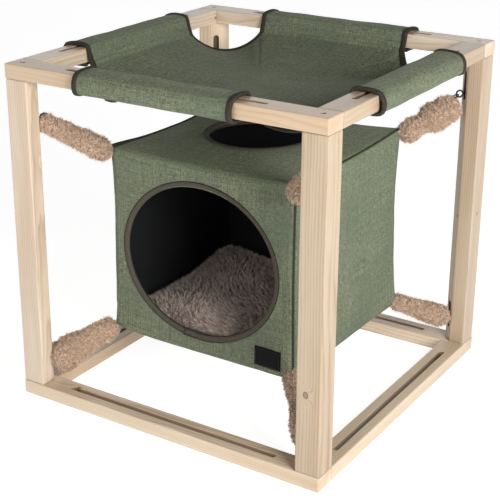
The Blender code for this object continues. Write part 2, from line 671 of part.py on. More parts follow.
def build_suspension(parent, steel, plush):
    eye, hook = eye_mesh(), hook_mesh()
    for level, eye_z in (("lower", LOWER_EYE_Z), ("upper", UPPER_EYE_Z)):
        run, rise, length = corner_pull(eye_z)
        tilt = math.atan2(rise, -run)
        strap = strap_mesh(length, LOWER_STRAP_DROOP if level == "lower" else UPPER_STRAP_DROOP)
        for corner, quarter in CORNERS.items():
            azimuth = (quarter + 0.5) * QUARTER
            place = (eye_reach() * math.cos(azimuth), eye_reach() * math.sin(azimuth), eye_z)
            name = level + "_" + corner
            add_object("screw_eye_" + name, eye, steel, place, (0, 0, azimuth), parent)
            add_object("strap_hook_" + name, hook, steel, place, (0, tilt, azimuth), parent)
            add_object("strap_" + name, strap, plush, place, (0, tilt, azimuth), parent)


def build_pod(parent, cloth, lining, tape, woven, fleece):
    inside = COVER_THICKNESS + LINING_GAP
    cover = shell_mesh("pod_cover", 0.0, COVER_THICKNESS)
    liner = shell_mesh("pod_lining", inside, inside + LINING_THICKNESS)
    add_object("pod_cover", cover, cloth, parent=parent)
    add_object("pod_lining", liner, lining, parent=parent)
    add_object("door_binding", door_binding_mesh(), tape, parent=parent)
    add_object("top_opening_binding", top_binding_mesh(), tape, parent=parent)
    add_object("blank_label", label_mesh(), woven, parent=parent)
    add_object("cushion", cushion_mesh(), fleece, parent=parent)


def build_hammock(parent, cloth):
    sheet = add_object("hammock_sheet", hammock_mesh(), cloth, parent=parent)
    solidify = sheet.modifiers.new("cloth_thickness", "SOLIDIFY")
    solidify.thickness = SHEET_THICKNESS
    solidify.offset = 0.0
    solidify.use_rim = True


def main():
    clear_scene()
    root = bpy.data.objects.new("cat_hammock", None)
    bpy.context.scene.collection.objects.link(root)
    pine = material("pine", (0.72, 0.56, 0.38), 0.55)
    birch = material("birch", (0.70, 0.55, 0.36), 0.6)
    steel = material("dark_steel", (0.03, 0.027, 0.024), 0.4, 0.9)
    green = material("green_cloth", (0.16, 0.20, 0.12), 0.9)
    black = material("black_lining", (0.010, 0.011, 0.011), 0.9)
    tape = material("binding_tape", (0.075, 0.068, 0.055), 0.85)
    woven = material("black_label", (0.012, 0.012, 0.013), 0.6)
    plush = material("beige_plush", (0.48, 0.33, 0.22), 1.0)
    fleece = material("brown_fleece", (0.27, 0.20, 0.16), 1.0)
    build_frame(root, pine, steel, birch)
    build_suspension(root, steel, plush)
    build_pod(root, green, black, tape, woven, fleece)
    build_hammock(root, green)


main()
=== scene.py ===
import math

import bmesh
import bpy
import numpy as np
from mathutils import Matrix, Vector, kdtree, noise


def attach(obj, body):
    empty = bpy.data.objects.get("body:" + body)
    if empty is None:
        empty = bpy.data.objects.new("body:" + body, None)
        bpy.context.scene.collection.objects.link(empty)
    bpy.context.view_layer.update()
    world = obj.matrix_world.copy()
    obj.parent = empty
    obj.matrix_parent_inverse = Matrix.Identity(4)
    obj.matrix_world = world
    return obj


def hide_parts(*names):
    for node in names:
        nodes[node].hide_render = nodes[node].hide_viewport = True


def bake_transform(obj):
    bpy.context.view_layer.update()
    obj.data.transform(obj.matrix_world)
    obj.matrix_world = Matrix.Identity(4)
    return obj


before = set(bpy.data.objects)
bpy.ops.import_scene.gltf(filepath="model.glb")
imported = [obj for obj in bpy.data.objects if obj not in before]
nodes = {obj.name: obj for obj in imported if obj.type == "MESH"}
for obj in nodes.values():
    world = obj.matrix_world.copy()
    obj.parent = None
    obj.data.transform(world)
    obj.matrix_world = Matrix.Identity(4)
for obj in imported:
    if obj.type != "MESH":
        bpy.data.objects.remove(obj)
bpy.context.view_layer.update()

scene = bpy.context.scene
QUARTER = math.pi / 2
CORNERS = {"back_right": 0, "back_left": 1, "front_left": 2, "front_right": 3}
STRAPS = [(level, corner) for level in ("upper", "lower") for corner in CORNERS]

# Sizes of the model, in metres
HALF = 0.250
RAIL_WIDTH = 0.036
RAIL_HEIGHT = 0.021
SLOT_HALF_WIDTH = 0.0046
SLOT_REACH = 0.19
HOLE_RADIUS = 0.0046
WALL_MARGIN = 0.0009
GROOVE_HALF_WIDTH = 0.0074
GROOVE_DEPTHS = (0.4415, 0.4560)
EYE_REACH = 0.30349
EYE_HEIGHTS = {"upper": 0.422, "lower": 0.055}
EYE_RING_RADIUS = 0.005
EYE_WIRE_RADIUS = 0.00125
EYE_SHANK = 0.022
HOOK_RING_RADIUS = 0.0042
HOOK_WIRE_RADIUS = 0.0010
HOOK_OFFSET = 0.00635
HOOK_STEM = 0.009
POD_HALF_WIDTH = 0.1555
POD_BOTTOM_SPREAD = 0.0020
POD_BOTTOM_Z = 0.093
POD_TOP_Z = 0.377
POD_MIDDLE_Z = (POD_BOTTOM_Z + POD_TOP_Z) / 2
POD_HALF_HEIGHT = (POD_TOP_Z - POD_BOTTOM_Z) / 2
POD_EDGE_ROUND = 0.009
POD_PULL_IN = 0.0042
POD_TOP_DIP = 0.008
POD_TOP_CROWN = 0.012
POD_BOTTOM_SAG = 0.004
POD_SLACK = 0.0050
POD_FOLD = 0.0012
POD_CORNERS = {"upper": (0.1445, 0.368), "lower": (0.1485, 0.102)}
COVER_THICKNESS = 0.0020
LINING_GAP = 0.0006
LINING_THICKNESS = 0.0030
DOOR_HALF_WIDTH = 0.128
DOOR_HALF_HEIGHT = 0.1145
DOOR_X = -0.0015
DOOR_Z = 0.2303
TOP_OPENING_RADIUS = 0.077
LABEL_SIZE = (0.042, 0.028)
LABEL_PLACE = (0.114, 0.1165)
CUSHION_HALF_WIDTH = 0.141
CUSHION_DRAW_IN = 0.006
CUSHION_SIDE_HEIGHT = 0.028
CUSHION_CROWN = 0.040
CUSHION_FLOOR_Z = 0.0998
CUSHION_LIFT = 0.0110
CUSHION_LIFT_PLACE = (-0.139, 0.105)
CUSHION_LIFT_REACH = (0.045, 0.055)
PILE_ROOM_SIDE = 0.002
PILE_ROOM_TOP = 0.003
FOLD_HALF_WIDTH = 0.200
FOLD_Z = 0.476
TRAY_MIDDLE_Z = 0.453
CUT_OUT_DROOP = 0.027
CUT_OUT_DEPTH = 0.004
CLOTH_THICKNESS = 0.0016
PLUSH_DEPTH = 0.0022
FLOOR_HALF_SIDE = 30.0
# How far the pod's slack and folds reach, as shares of half its side
POD_SLACK_REACH = (0.24, 0.24)
POD_SLACK_HEIGHT = 0.55
POD_FOLD_REACH = 0.30
# Stitches, in metres: length, gap, thickness of the thread
TAPE_STITCH = (0.0028, 0.0012, 0.0006)
LABEL_STITCH = (0.0018, 0.0008, 0.0004)
# Pile of each strap, and of the cushion: how many strands and tufts, and lengths and widths in metres
PLUSH_STRANDS = 9500
PLUSH_TUFTS = 800
PLUSH_LENGTHS = (0.0028, 0.0062)
PLUSH_WIDTH = 0.00080
PLUSH_TUFT_REACH = 0.0052
FLEECE_STRANDS = 33000
FLEECE_TUFTS = 4200
FLEECE_LENGTHS = (0.0055, 0.0105)
FLEECE_WIDTH = 0.00065
FLEECE_TUFT_REACH = 0.0090


def placed(name, data):
    made = bpy.data.objects.new(name, data)
    scene.collection.objects.link(made)
    return made


def add_camera():
    """Camera at the photograph's place, solved from the corners of the pine cube."""
    data = bpy.data.cameras.new("camera")
    data.lens = 89.446
    data.sensor_width = 36.0
    data.shift_x = 0.03705
    data.shift_y = -0.03819
    camera = placed("camera", data)
    camera.matrix_world = Matrix((
        (0.837761, -0.196904, 0.509298, 0.90482),
        (0.546036, 0.301167, -0.781756, -1.45994),
        (0.000547, 0.933021, 0.359823, 0.89158),
        (0, 0, 0, 1)))
    scene.camera = camera


def area_light(name, place, aim, size, power):
    data = bpy.data.lights.new(name, "AREA")
    data.shape = "RECTANGLE"
    data.size, data.size_y = size
    data.energy = power
    light = placed(name, data)
    light.location = place
    light.visible_glossy = False
    light.rotation_euler = (Vector(place) - Vector(aim)).to_track_quat("Z", "Y").to_euler()


def add_studio():
    """Pale floor, a world that is brighter at its back left and near its horizon, and two soft lights."""
    scene.view_settings.view_transform = "Standard"
    world = bpy.data.worlds.new("studio")
    scene.world = world
    world.use_nodes = True
    sky = Nodes(world.node_tree)
    way = sky.node("TexCoord", {}, out="Generated")
    height = sky.split(way)[2]
    facing = sky.node("VectorMath", {0: way, 1: (-0.55, 0.83, 0)}, out="Value", operation="DOT_PRODUCT")
    horizon = sky.ramp(height, [(0.06, 0.45), (0.36, 0.05)])
    fade = sky.ramp(height, [(0.42, 1.0), (0.66, 0.0)])
    back = sky.ramp(facing, [(0.12, 0.0), (0.95, 1.55)])
    glow = sky.add(sky.times(fade, back), horizon)
    sky.feed(sky.tree.nodes["Background"].inputs["Color"], glow)
    area_light("key_softbox", (1.90, -1.05, 1.00), (0, 0, 0.25), (1.0, 1.0), 60)
    area_light("front_softbox", (-0.1, -2.5, 1.15), (0, 0, 0.25), (1.3, 1.1), 18)
    side = FLOOR_HALF_SIDE
    corners = [(-side, -side, 0), (side, -side, 0), (side, side, 0), (-side, side, 0)]
    add_mesh("floor", corners, [(0, 1, 2, 3)], floor_material())


class Nodes:
    """A node tree under construction; a call that adds nodes gives what the last of them puts out."""

    def __init__(self, tree):
        self.tree = tree

    def feed(self, socket, value):
        if isinstance(value, bpy.types.NodeSocket):
            self.tree.links.new(value, socket)
        else:
            socket.default_value = value

    def node(self, kind, inputs, out=0, **settings):
        made = self.tree.nodes.new("ShaderNode" + kind)
        for key, value in settings.items():
            setattr(made, key, value)
        for key, value in inputs.items():
            self.feed(made.inputs[key], value)
        return made.outputs[out]

    def math(self, operation, a, b=0.0):
        return self.node("Math", {0: a, 1: b}, operation=operation)

    def add(self, a, b):
        return self.math("ADD", a, b)

    def times(self, a, b):
        return self.math("MULTIPLY", a, b)

    def minus(self, a, b):
        return self.math("SUBTRACT", a, b)

    def apart(self, a, b=0.0):
        return self.math("ABSOLUTE", self.minus(a, b))

    def below(self, a, b):
        return self.math("LESS_THAN", a, b)

    def length(self, a, b):
        return self.math("SQRT", self.add(self.times(a, a), self.times(b, b)))

    def split(self, place):
        made = self.tree.nodes.new("ShaderNodeSeparateXYZ")
        self.feed(made.inputs[0], place)
        return made.outputs

    def object_place(self):
        return self.node("TexCoord", {}, out="Object")

    def cloth_place(self):
        return self.node("UVMap", {}, uv_map="UVMap")

    def noise(self, place, scale=1.0, detail=2.0, roughness=0.5, out="Fac"):
        inputs = {"Vector": place, "Scale": scale, "Detail": detail, "Roughness": roughness}
        return self.node("TexNoise", inputs, out=out)

    def streaks(self, place, stretch, detail=2.0, roughness=0.5, out="Fac"):
        """Noise with its grain stretched: a small number along an axis makes long streaks there."""
        stretched = self.node("VectorMath", {0: place, 1: stretch}, operation="MULTIPLY")
        return self.noise(stretched, 1.0, detail, roughness, out)

    def ramp(self, factor, stops):
        made = self.tree.nodes.new("ShaderNodeValToRGB")
        ramp = made.color_ramp
        while len(ramp.elements) < len(stops):
            ramp.elements.new(0.5)
        for element, (position, value) in zip(ramp.elements, stops):
            element.position = position
            element.color = (value, value, value, 1) if isinstance(value, float) else (*value, 1)
        self.feed(made.inputs["Fac"], factor)
        return made.outputs["Color"]

    def mix(self, factor, a, b, blend="MIX"):
        opaque = [(*x, 1) if isinstance(x, tuple) else x for x in (a, b)]
        inputs = {0: factor, 6: opaque[0], 7: opaque[1]}
        return self.node("Mix", inputs, out=2, data_type="RGBA", blend_type=blend)


class Finish(Nodes):
    """A material under construction."""

    def __init__(self, name, roughness=0.9, **constants):
        self.material = bpy.data.materials.new(name)
        self.material.use_nodes = True
        super().__init__(self.material.node_tree)
        self.shader = self.tree.nodes["Principled BSDF"]
        self.shader.inputs["Roughness"].default_value = roughness
        for key, value in constants.items():
            self.shader.inputs[key.replace("_", " ")].default_value = value

    def finish(self, color, height=None, distance=0.001, strength=1.0, roughness=None):
        self.feed(self.shader.inputs["Base Color"], color)
        if roughness is not None:
            self.feed(self.shader.inputs["Roughness"], roughness)
        if height is not None:
            inputs = {"Height": height, "Distance": distance, "Strength": strength}
            self.feed(self.shader.inputs["Normal"], self.node("Bump", inputs))
        return self.material


def floor_material():
    n = Finish("pale_floor", 0.9)
    grain = n.noise(n.object_place(), 3.0)
    n.shader.inputs["Emission Color"].default_value = (1, 1, 1, 1)
    n.shader.inputs["Emission Strength"].default_value = 0.86
    return n.finish(n.mix(grain, (0.36, 0.36, 0.36), (0.38, 0.38, 0.375)))


def groove_shade_mask(n, xyz):
    """1 on the walls of the grooves in a post's chamfer, where the wood gets painted shade."""
    wide = [n.apart(xyz[k]) for k in range(2)]
    deep = n.add(*wide)
    inside = n.times(n.math("GREATER_THAN", deep, GROOVE_DEPTHS[0]), n.below(deep, GROOVE_DEPTHS[1]))
    return n.times(inside, n.below(n.apart(*wide), GROOVE_HALF_WIDTH))


def slot_shade_mask(n, xyz, axis, lower):
    """1 on the walls of a rail's slot and of its screw holes, where the wood gets painted shade."""
    middle_z = RAIL_HEIGHT / 2 if lower else 2 * HALF - RAIL_HEIGHT / 2
    inner = n.below(n.apart(xyz[2], middle_z), RAIL_HEIGHT / 2 - WALL_MARGIN)
    off = [n.minus(n.apart(xyz[k]), HALF - RAIL_WIDTH / 2) for k in range(2)]
    slot = n.times(n.below(n.apart(off[1 - axis]), SLOT_HALF_WIDTH), n.below(n.apart(xyz[axis]), SLOT_REACH))
    return n.times(n.math("MAXIMUM", slot, n.below(n.length(*off), HOLE_RADIUS)), inner)


def pine(name, axis, growth, lean=(0.0, 0.0), pitch=0.0027, tone=(1.0, 1.0, 1.0), knots=(), depth=1.0):
    """Planed pine with its grain along an axis and its rings about a line `growth` away in the other two."""
    n = Finish(name, 0.43, Specular_IOR_Level=0.6)
    place = n.object_place()
    xyz = n.split(place)
    others = [i for i in range(3) if i != axis]

    def scaled(along, across):
        return [along if i == axis else across for i in range(3)]

    warp = n.split(n.streaks(place, scaled(5.0, 21.0), out="Color"))
    across = []
    for k in range(2):
        leaning = n.times(xyz[axis], lean[k])
        straight = n.add(n.minus(xyz[others[k]], growth[k]), leaning)
        across.append(n.add(straight, n.times(n.minus(warp[k], 0.5), 0.010)))
    radius = n.length(*across)
    knot_marks = []
    for facing, spot, size in knots:
        a, b = [i for i in range(3) if i != facing]
        narrow = scaled(1.0, 1.25)
        da = n.times(n.minus(xyz[a], spot[0]), narrow[a])
        db = n.times(n.minus(xyz[b], spot[1]), narrow[b])
        away = n.length(da, db)
        push = n.math("EXPONENT", n.times(n.math("POWER", n.times(away, 0.5 / size), 2.0), -1.0))
        radius = n.add(radius, n.times(push, 2.4 * size))
        knot_marks.append((away, size))
    fibre = n.streaks(place, scaled(28.0, 1900.0))
    uneven = n.streaks(place, scaled(2.0, 75.0))
    count = n.add(n.add(n.times(radius, 1 / pitch), n.times(fibre, 0.22)), n.times(uneven, 1.6))
    ring = n.math("FRACT", count)
    late = n.ramp(ring, [(0.0, 0.10), (0.45, 0.16), (0.80, 0.80), (0.90, 1.0), (1.0, 0.10)])
    patch = n.streaks(place, scaled(3.0, 30.0), 3.0)
    # The tone is partly painted shade and light, set for how the light falls on each piece.
    early_color = tuple(t * c for t, c in zip(tone, (0.700, 0.590, 0.465)))
    late_color = tuple(t * c for t, c in zip(tone, (0.430, 0.290, 0.175)))
    color = n.mix(n.times(late, n.add(n.times(patch, 1.0 * depth), 0.12 * depth)), early_color, late_color)
    warm = n.times(n.ramp(patch, [(0.35, 0.0), (0.75, 1.0)]), 0.45)
    color = n.mix(warm, color, (0.66, 0.49, 0.33), "MULTIPLY")
    color = n.mix(n.ramp(fibre, [(0.3, 0.34), (0.55, 0.0)]), color, (0.56, 0.39, 0.25))
    for away, size in knot_marks:
        disc = n.ramp(n.times(away, 1 / size), [(0.95, 1.0), (1.15, 0.0)])
        rim = n.ramp(n.times(away, 1 / size), [(0.58, 0.0), (0.86, 1.0)])
        curl = n.math("FRACT", n.add(n.times(away, 2.4 / size), n.times(fibre, 0.5)))
        heart = n.mix(n.ramp(curl, [(0.2, 0.0), (0.9, 1.0)]), (0.30, 0.185, 0.110), (0.19, 0.110, 0.065))
        heart = n.mix(n.times(rim, 0.8), heart, (0.090, 0.048, 0.025))
        halo = n.ramp(n.times(away, 1 / size), [(0.9, 0.40), (2.2, 0.0)])
        color = n.mix(halo, color, (0.58, 0.39, 0.23))
        color = n.mix(n.times(disc, 0.9), color, heart)
    # Painted shade: the walls of the grooves in the posts are darkened to a deep brown.
    if name.startswith("post"):
        color = n.mix(n.times(groove_shade_mask(n, xyz), 0.88), color, (0.060, 0.034, 0.019))
    # Painted shade: the walls of a rail's slot and screw holes are darkened.
    if "rail" in name:
        lower = name.startswith("bottom")
        color = n.mix(n.times(slot_shade_mask(n, xyz, axis, lower), 0.72), color, (0.150, 0.082, 0.046))
    height = n.add(n.times(late, 0.5), n.times(fibre, 0.6))
    rough = n.add(n.times(late, -0.08), 0.43)
    return n.finish(color, height, 0.00010, 0.7, rough)


# Each piece of wood: grain axis, ring centre in the two other axes, lean of the rings, ring pitch, tone
# (partly the board's own colour and partly painted shade and light, some pieces darker and others lighter
# for how the light falls on them), knots as (axis that they face along, place in the other two, radius),
# depth of the grain's contrast
PINE = {
    "top_rail_front": (0, (-0.600, 0.250), (0.02, 0.01), 0.0036, (0.80, 0.74, 0.66), (), 0.45),
    "top_rail_back": (0, (0.150, 0.500), (0.01, -0.02), 0.0024, (1.00, 1.00, 1.00),
                      ((1, (-0.1245, 0.4885), 0.0042),)),
    "top_rail_left": (1, (-0.290, 0.430), (-0.03, 0.02), 0.0036, (0.98, 0.98, 0.98),
                      ((0, (0.2095, 0.4880), 0.0030),)),
    "top_rail_right": (1, (0.600, 0.300), (0.02, 0.03), 0.0034, (0.66, 0.63, 0.575), (), 0.6),
    "bottom_rail_front": (0, (-0.200, -0.060), (0.02, 0.02), 0.0028, (0.97, 0.96, 0.93),
                          ((2, (-0.165, -0.226), 0.0035),)),
    "bottom_rail_back": (0, (0.290, 0.050), (-0.02, 0.02), 0.0026, (0.95, 0.95, 0.95), ()),
    "bottom_rail_left": (1, (-0.190, -0.050), (0.02, 0.02), 0.0030, (0.72, 0.65, 0.58), ()),
    "bottom_rail_right": (1, (0.300, -0.040), (-0.02, 0.01), 0.0027, (0.93, 0.91, 0.86), ()),
    "post_front_left": (2, (-0.330, -0.210), (0.02, 0.02), 0.0030, (0.95, 0.96, 0.98),
                        ((0, (-0.2210, 0.361), 0.0042),)),
    "post_front_right": (2, (0.120, -0.262), (0.006, 0.01), 0.0044, (0.66, 0.64, 0.59),
                         ((1, (0.2275, 0.136), 0.0052),), 1.1),
    "post_back_left": (2, (-0.190, 0.320), (0.02, -0.02), 0.0026, (1.10, 1.08, 1.04), ()),
    "post_back_right": (2, (0.310, 0.190), (0.02, 0.02), 0.0028, (0.73, 0.71, 0.68),
                        ((0, (0.2300, 0.236), 0.0030), (1, (0.2240, 0.232), 0.0026))),
}


def green_cloth():
    """Flecked upholstery cloth: mixed light and dark threads both ways, in a plain weave."""
    n = Finish("green_cloth", 0.95, Specular_IOR_Level=0.10, Sheen_Weight=0.10, Sheen_Roughness=0.4)
    n.shader.inputs["Sheen Tint"].default_value = (0.85, 0.88, 0.70, 1)
    place = n.cloth_place()
    warp = n.streaks(place, (1200.0, 130.0, 1.0), 3.0, 0.55)
    weft = n.streaks(place, (130.0, 1200.0, 1.0), 3.0, 0.55)
    yarns = n.add(n.streaks(place, (640.0, 14.0, 1.0)), n.streaks(place, (14.0, 640.0, 1.0)))
    uv = n.split(place)
    thread = 2 * math.pi / 0.0012
    over = n.math("SINE", n.times(uv[0], thread))
    under = n.math("SINE", n.times(uv[1], thread))
    cross = n.add(n.times(n.times(over, under), 0.5), 0.5)
    threads = n.add(n.times(n.add(warp, weft), 0.30), n.times(yarns, 0.20))
    light = n.ramp(threads, [(0.420, 0.0), (0.580, 1.0)])
    fleck = n.ramp(n.math("MAXIMUM", warp, weft), [(0.60, 0.0), (0.74, 1.0)])
    dark_fleck = n.ramp(n.math("MINIMUM", warp, weft), [(0.28, 1.0), (0.42, 0.0)])
    broad = n.noise(place, 9.0, 3.0)
    color = n.mix(light, (0.069, 0.084, 0.052), (0.228, 0.246, 0.163))
    color = n.mix(n.times(fleck, 0.45), color, (0.390, 0.390, 0.285))
    color = n.mix(n.times(dark_fleck, 0.45), color, (0.036, 0.049, 0.036))
    color = n.mix(n.ramp(broad, [(0.38, 0.0), (0.66, 0.45)]), color, (0.098, 0.128, 0.096))
    height = n.add(n.times(cross, 0.6), n.times(threads, 1.6))
    return n.finish(color, height, 0.0005, 0.6)


def tape_material(name, dark, light, shade_bands=()):
    """Ribbed binding tape; the bands are lines of painted shade along it, at places round its section."""
    n = Finish(name, 0.88, Specular_IOR_Level=0.2)
    place = n.cloth_place()
    uv = n.split(place)
    rib = n.math("SINE", n.times(uv[0], 2 * math.pi / 0.0009))
    fuzz = n.streaks(place, (900.0, 300.0, 1.0), 3.0)
    color = n.mix(n.ramp(fuzz, [(0.3, 0.0), (0.7, 1.0)]), dark, light)
    height = n.add(n.times(rib, 0.5), fuzz)
    for middle, half in shade_bands:
        line = n.ramp(n.times(n.apart(uv[1], middle), 1 / half), [(0.5, 1.0), (1.0, 0.0)])
        # Painted shade along each band line.
        color = n.mix(n.times(line, 0.85), color, (0.014, 0.013, 0.011))
        height = n.minus(height, n.times(line, 1.5))
    return n.finish(color, height, 0.00025, 0.5)


def thread_material(name, color):
    n = Finish(name, 0.7)
    twist = n.streaks(n.object_place(), (1500.0, 1500.0, 1500.0), 1.0)
    return n.finish(n.mix(twist, tuple(0.6 * c for c in color), color), twist, 0.0002, 0.5)


def lining_material():
    n = Finish("black_lining", 0.95, Specular_IOR_Level=0.15)
    place = n.object_place()
    nap = n.noise(place, 900.0, 3.0)
    soft = n.noise(place, 18.0, 3.0)
    color = n.mix(nap, (0.0120, 0.0125, 0.0128), (0.0220, 0.0225, 0.0225))
    color = n.mix(n.times(soft, 0.5), color, (0.014, 0.015, 0.017))
    return n.finish(color, n.add(nap, soft), 0.0004, 0.4)


def label_material():
    n = Finish("black_label", 0.7, Specular_IOR_Level=0.2)
    place = n.cloth_place()
    rows = n.math("SINE", n.times(n.split(place)[1], 2 * math.pi / 0.0006))
    fuzz = n.streaks(place, (800.0, 2000.0, 1.0))
    color = n.mix(fuzz, (0.0020, 0.0020, 0.0022), (0.0050, 0.0050, 0.0055))
    return n.finish(color, n.add(n.times(rows, 0.5), fuzz), 0.0002, 0.6)


def pile_material(name, dark, middle, light, scale):
    """Pile: the attribute `pile` has the shade of each strand, darker at its root as painted shade deep in
    the pile.
    """
    n = Finish(name, 0.95, Sheen_Weight=0.35, Sheen_Roughness=0.6, Specular_IOR_Level=0.15)
    shade = n.node("Attribute", {}, out="Fac", attribute_name="pile")
    clump = n.noise(n.object_place(), scale, 3.0)
    mixed = n.add(n.times(shade, 0.75), n.times(clump, 0.35))
    color = n.ramp(mixed, [(0.05, dark), (0.45, middle), (0.90, light)])
    return n.finish(color, n.noise(n.object_place(), 1300.0, 2.0), 0.0004, 0.5)


def steel_material():
    """Blackened steel, rubbed a little brighter in places."""
    n = Finish("dark_steel", 0.38, Metallic=0.9)
    wear = n.noise(n.object_place(), 900.0, 4.0, 0.65)
    color = n.mix(n.ramp(wear, [(0.45, 0.0), (0.75, 1.0)]), (0.035, 0.032, 0.030), (0.135, 0.125, 0.115))
    return n.finish(color, wear, 0.00008, 0.6, n.ramp(wear, [(0.3, 0.32), (0.8, 0.55)]))


def birch_material():
    n = Finish("birch", 0.6)
    flutes = n.streaks(n.object_place(), (900.0, 40.0, 900.0))
    return n.finish(n.mix(flutes, (0.55, 0.40, 0.25), (0.72, 0.57, 0.40)), flutes, 0.0001, 0.5)


def add_piece(name, mesh, material):
    mesh.polygons.foreach_set("use_smooth", [True] * len(mesh.polygons))
    mesh.materials.append(material)
    return placed(name, mesh)


def add_mesh(name, points, faces, material, corner_uv=None):
    """New object from points and faces; corner_uv has one (u, v) in metres for each corner of each face."""
    mesh = bpy.data.meshes.new(name)
    mesh.from_pydata([tuple(p) for p in points], [], faces)
    if corner_uv is not None:
        layer = mesh.uv_layers.new(name="UVMap")
        layer.data.foreach_set("uv", np.array(corner_uv, dtype=np.float32).ravel())
    return add_piece(name, mesh, material)


def face_outward(mesh, weld=0.0):
    """Weld points of a mesh that are closer than `weld`, and turn its faces outward."""
    bm = bmesh.new()
    bm.from_mesh(mesh)
    if weld:
        bmesh.ops.remove_doubles(bm, verts=bm.verts, dist=weld)
    bmesh.ops.recalc_face_normals(bm, faces=bm.faces)
    bm.to_mesh(mesh)
    bm.free()


def dress(piece, body, node=None):
    """Let a piece ride on a body, and hide the CAD node that it stands for."""
    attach(piece, body)
    if node:
        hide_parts(node)


class Skin:
    """Cloth under construction: gridded patches with cloth coordinates in metres, welded where they meet."""

    def __init__(self):
        self.points = []
        self.places = []
        self.faces = []
        self.corner_uv = []

    def row(self, points, places):
        first = len(self.points)
        self.points += points
        self.places += places
        return list(range(first, first + len(points)))

    def face(self, *corners):
        self.faces.append(corners)
        self.corner_uv += [self.places[c] for c in corners]

    def strip(self, low, high, closed=False, flip=False):
        count = len(low)
        for i in range(count if closed else count - 1):
            j = (i + 1) % count
            quad = (low[i], low[j], high[j], high[i])
            self.face(*(reversed(quad) if flip else quad))

    def grid(self, rows, flip=False):
        for low, high in zip(rows, rows[1:]):
            self.strip(low, high, flip=flip)

    def finish(self, name, material, thickness=0.0, offset=0.0, weld=2e-5):
        made = add_mesh(name, self.points, self.faces, material, self.corner_uv)
        face_outward(made.data, weld)
        if thickness:
            solid = made.modifiers.new("thickness", "SOLIDIFY")
            solid.thickness = thickness
            solid.offset = offset
            solid.use_rim = True
        return made


def sweep(name, line, section, material, closed=True):
    """Solid swept along a line of (place, across, up) frames; the closed section is (across, up) pairs."""
    points, faces, corner_uv = [], [], []
    sides = len(section)
    around = [0.0]
    for k in range(sides):
        a, b = section[k], section[(k + 1) % sides]
        around.append(around[-1] + math.hypot(b[0] - a[0], b[1] - a[1]))
    run = [0.0]
    for (p, _, _), (q, _, _) in zip(line, line[1:] + line[:1]):
        run.append(run[-1] + (q - p).length)
    for p, across, up in line:
        points += [p + across * a + up * b for a, b in section]
    count = len(line)
    for i in range(count if closed else count - 1):
        j = (i + 1) % count
        for k in range(sides):
            m = (k + 1) % sides
            faces.append((i * sides + k, i * sides + m, j * sides + m, j * sides + k))
            corner_uv += [(run[i], around[k]), (run[i], around[k + 1]),
                          (run[i + 1], around[k + 1]), (run[i + 1], around[k])]
    if not closed:
        for i, order in ((0, range(sides - 1, -1, -1)), (count - 1, range(sides))):
            faces.append(tuple(i * sides + k for k in order))
            corner_uv += [(run[i], around[k]) for k in order]
    made = add_mesh(name, points, faces, material, corner_uv)
    face_outward(made.data)
    return made


def circle(radius, sides, squash=1.0):
    turns = [2 * math.pi * k / sides for k in range(sides)]
    return [(radius * math.cos(t), squash * radius * math.sin(t)) for t in turns]


def spline(points, step):
    """Smooth curve through points (Catmull-Rom), resampled about every `step`."""
    points = [Vector(p) for p in points]
    padded = [2 * points[0] - points[1]] + points + [2 * points[-1] - points[-2]]
    out = []
    for i in range(1, len(padded) - 2):
        a, b, c, d = padded[i - 1:i + 3]
        count = max(1, round((c - b).length / step))
        for k in range(count):
            t = k / count
            out.append(0.5 * (2 * b + (c - a) * t + (2 * a - 5 * b + 4 * c - d) * t * t
                              + (3 * b - a - 3 * c + d) * t ** 3))
    return out + [points[-1]]


def stitches(name, line, inset, lift, size, material):
    """Row of sewn stitches along (place, across, up) frames, `inset` across and `lift` up."""
    length, gap, thickness = size
    row = [p + across * inset + up * lift for p, across, up in line]
    ups = [up for _, _, up in line]
    points, faces = [], []
    travelled, due = 0.0, gap
    for (p, q), up in zip(zip(row, row[1:]), ups):
        step = (q - p).length
        while travelled + step > due:
            middle = p.lerp(q, (due - travelled) / step)
            along = (q - p).normalized()
            side = along.cross(up).normalized()
            first = len(points)
            for end, wide in ((-0.5, 0.35), (-0.3, 1.0), (0.3, 1.0), (0.5, 0.35)):
                arch = up * (thickness * 0.5 * wide)
                spot = middle + along * (length * end)
                points.extend([spot + side * (thickness * 0.5 * wide), spot + arch,
                               spot - side * (thickness * 0.5 * wide), spot - arch])
            for i in range(3):
                for k in range(4):
                    m = (k + 1) % 4
                    low, high = first + 4 * i, first + 4 * i + 4
                    faces.append((low + k, low + m, high + m, high + k))
            faces.append(tuple(first + k for k in (3, 2, 1, 0)))
            faces.append(tuple(first + 12 + k for k in range(4)))
            due += length + gap
        travelled += step
    return add_mesh(name, points, faces, material)


# Section of a sleeve round its rail, from the tray's fold over the rail to the free edge under it:
# (distance outside the rail's outer face, height over the floor)
SLEEVE_SECTION = [(-0.0500, 0.4760), (-0.0452, 0.4838), (-0.0412, 0.4915), (-0.0384, 0.4985),
                  (-0.0333, 0.5034), (-0.0200, 0.5047), (-0.0090, 0.5042), (0.0002, 0.5016),
                  (0.0050, 0.4955), (0.0066, 0.4880), (0.0058, 0.4810), (0.0022, 0.4764),
                  (-0.0060, 0.4748), (-0.0180, 0.4750), (-0.0330, 0.4752)]
# Where each sleeve starts and ends along its rail: right, back, left, front
SLEEVE_SPANS = [(-0.124, 0.124), (-0.124, 0.124), (-0.128, 0.118), (-0.124, 0.118)]
FOLD_BOW = 0.0055
ALONG_STEPS = 44
CUT_STEPS = 36
TRAY_SHELLS = 44
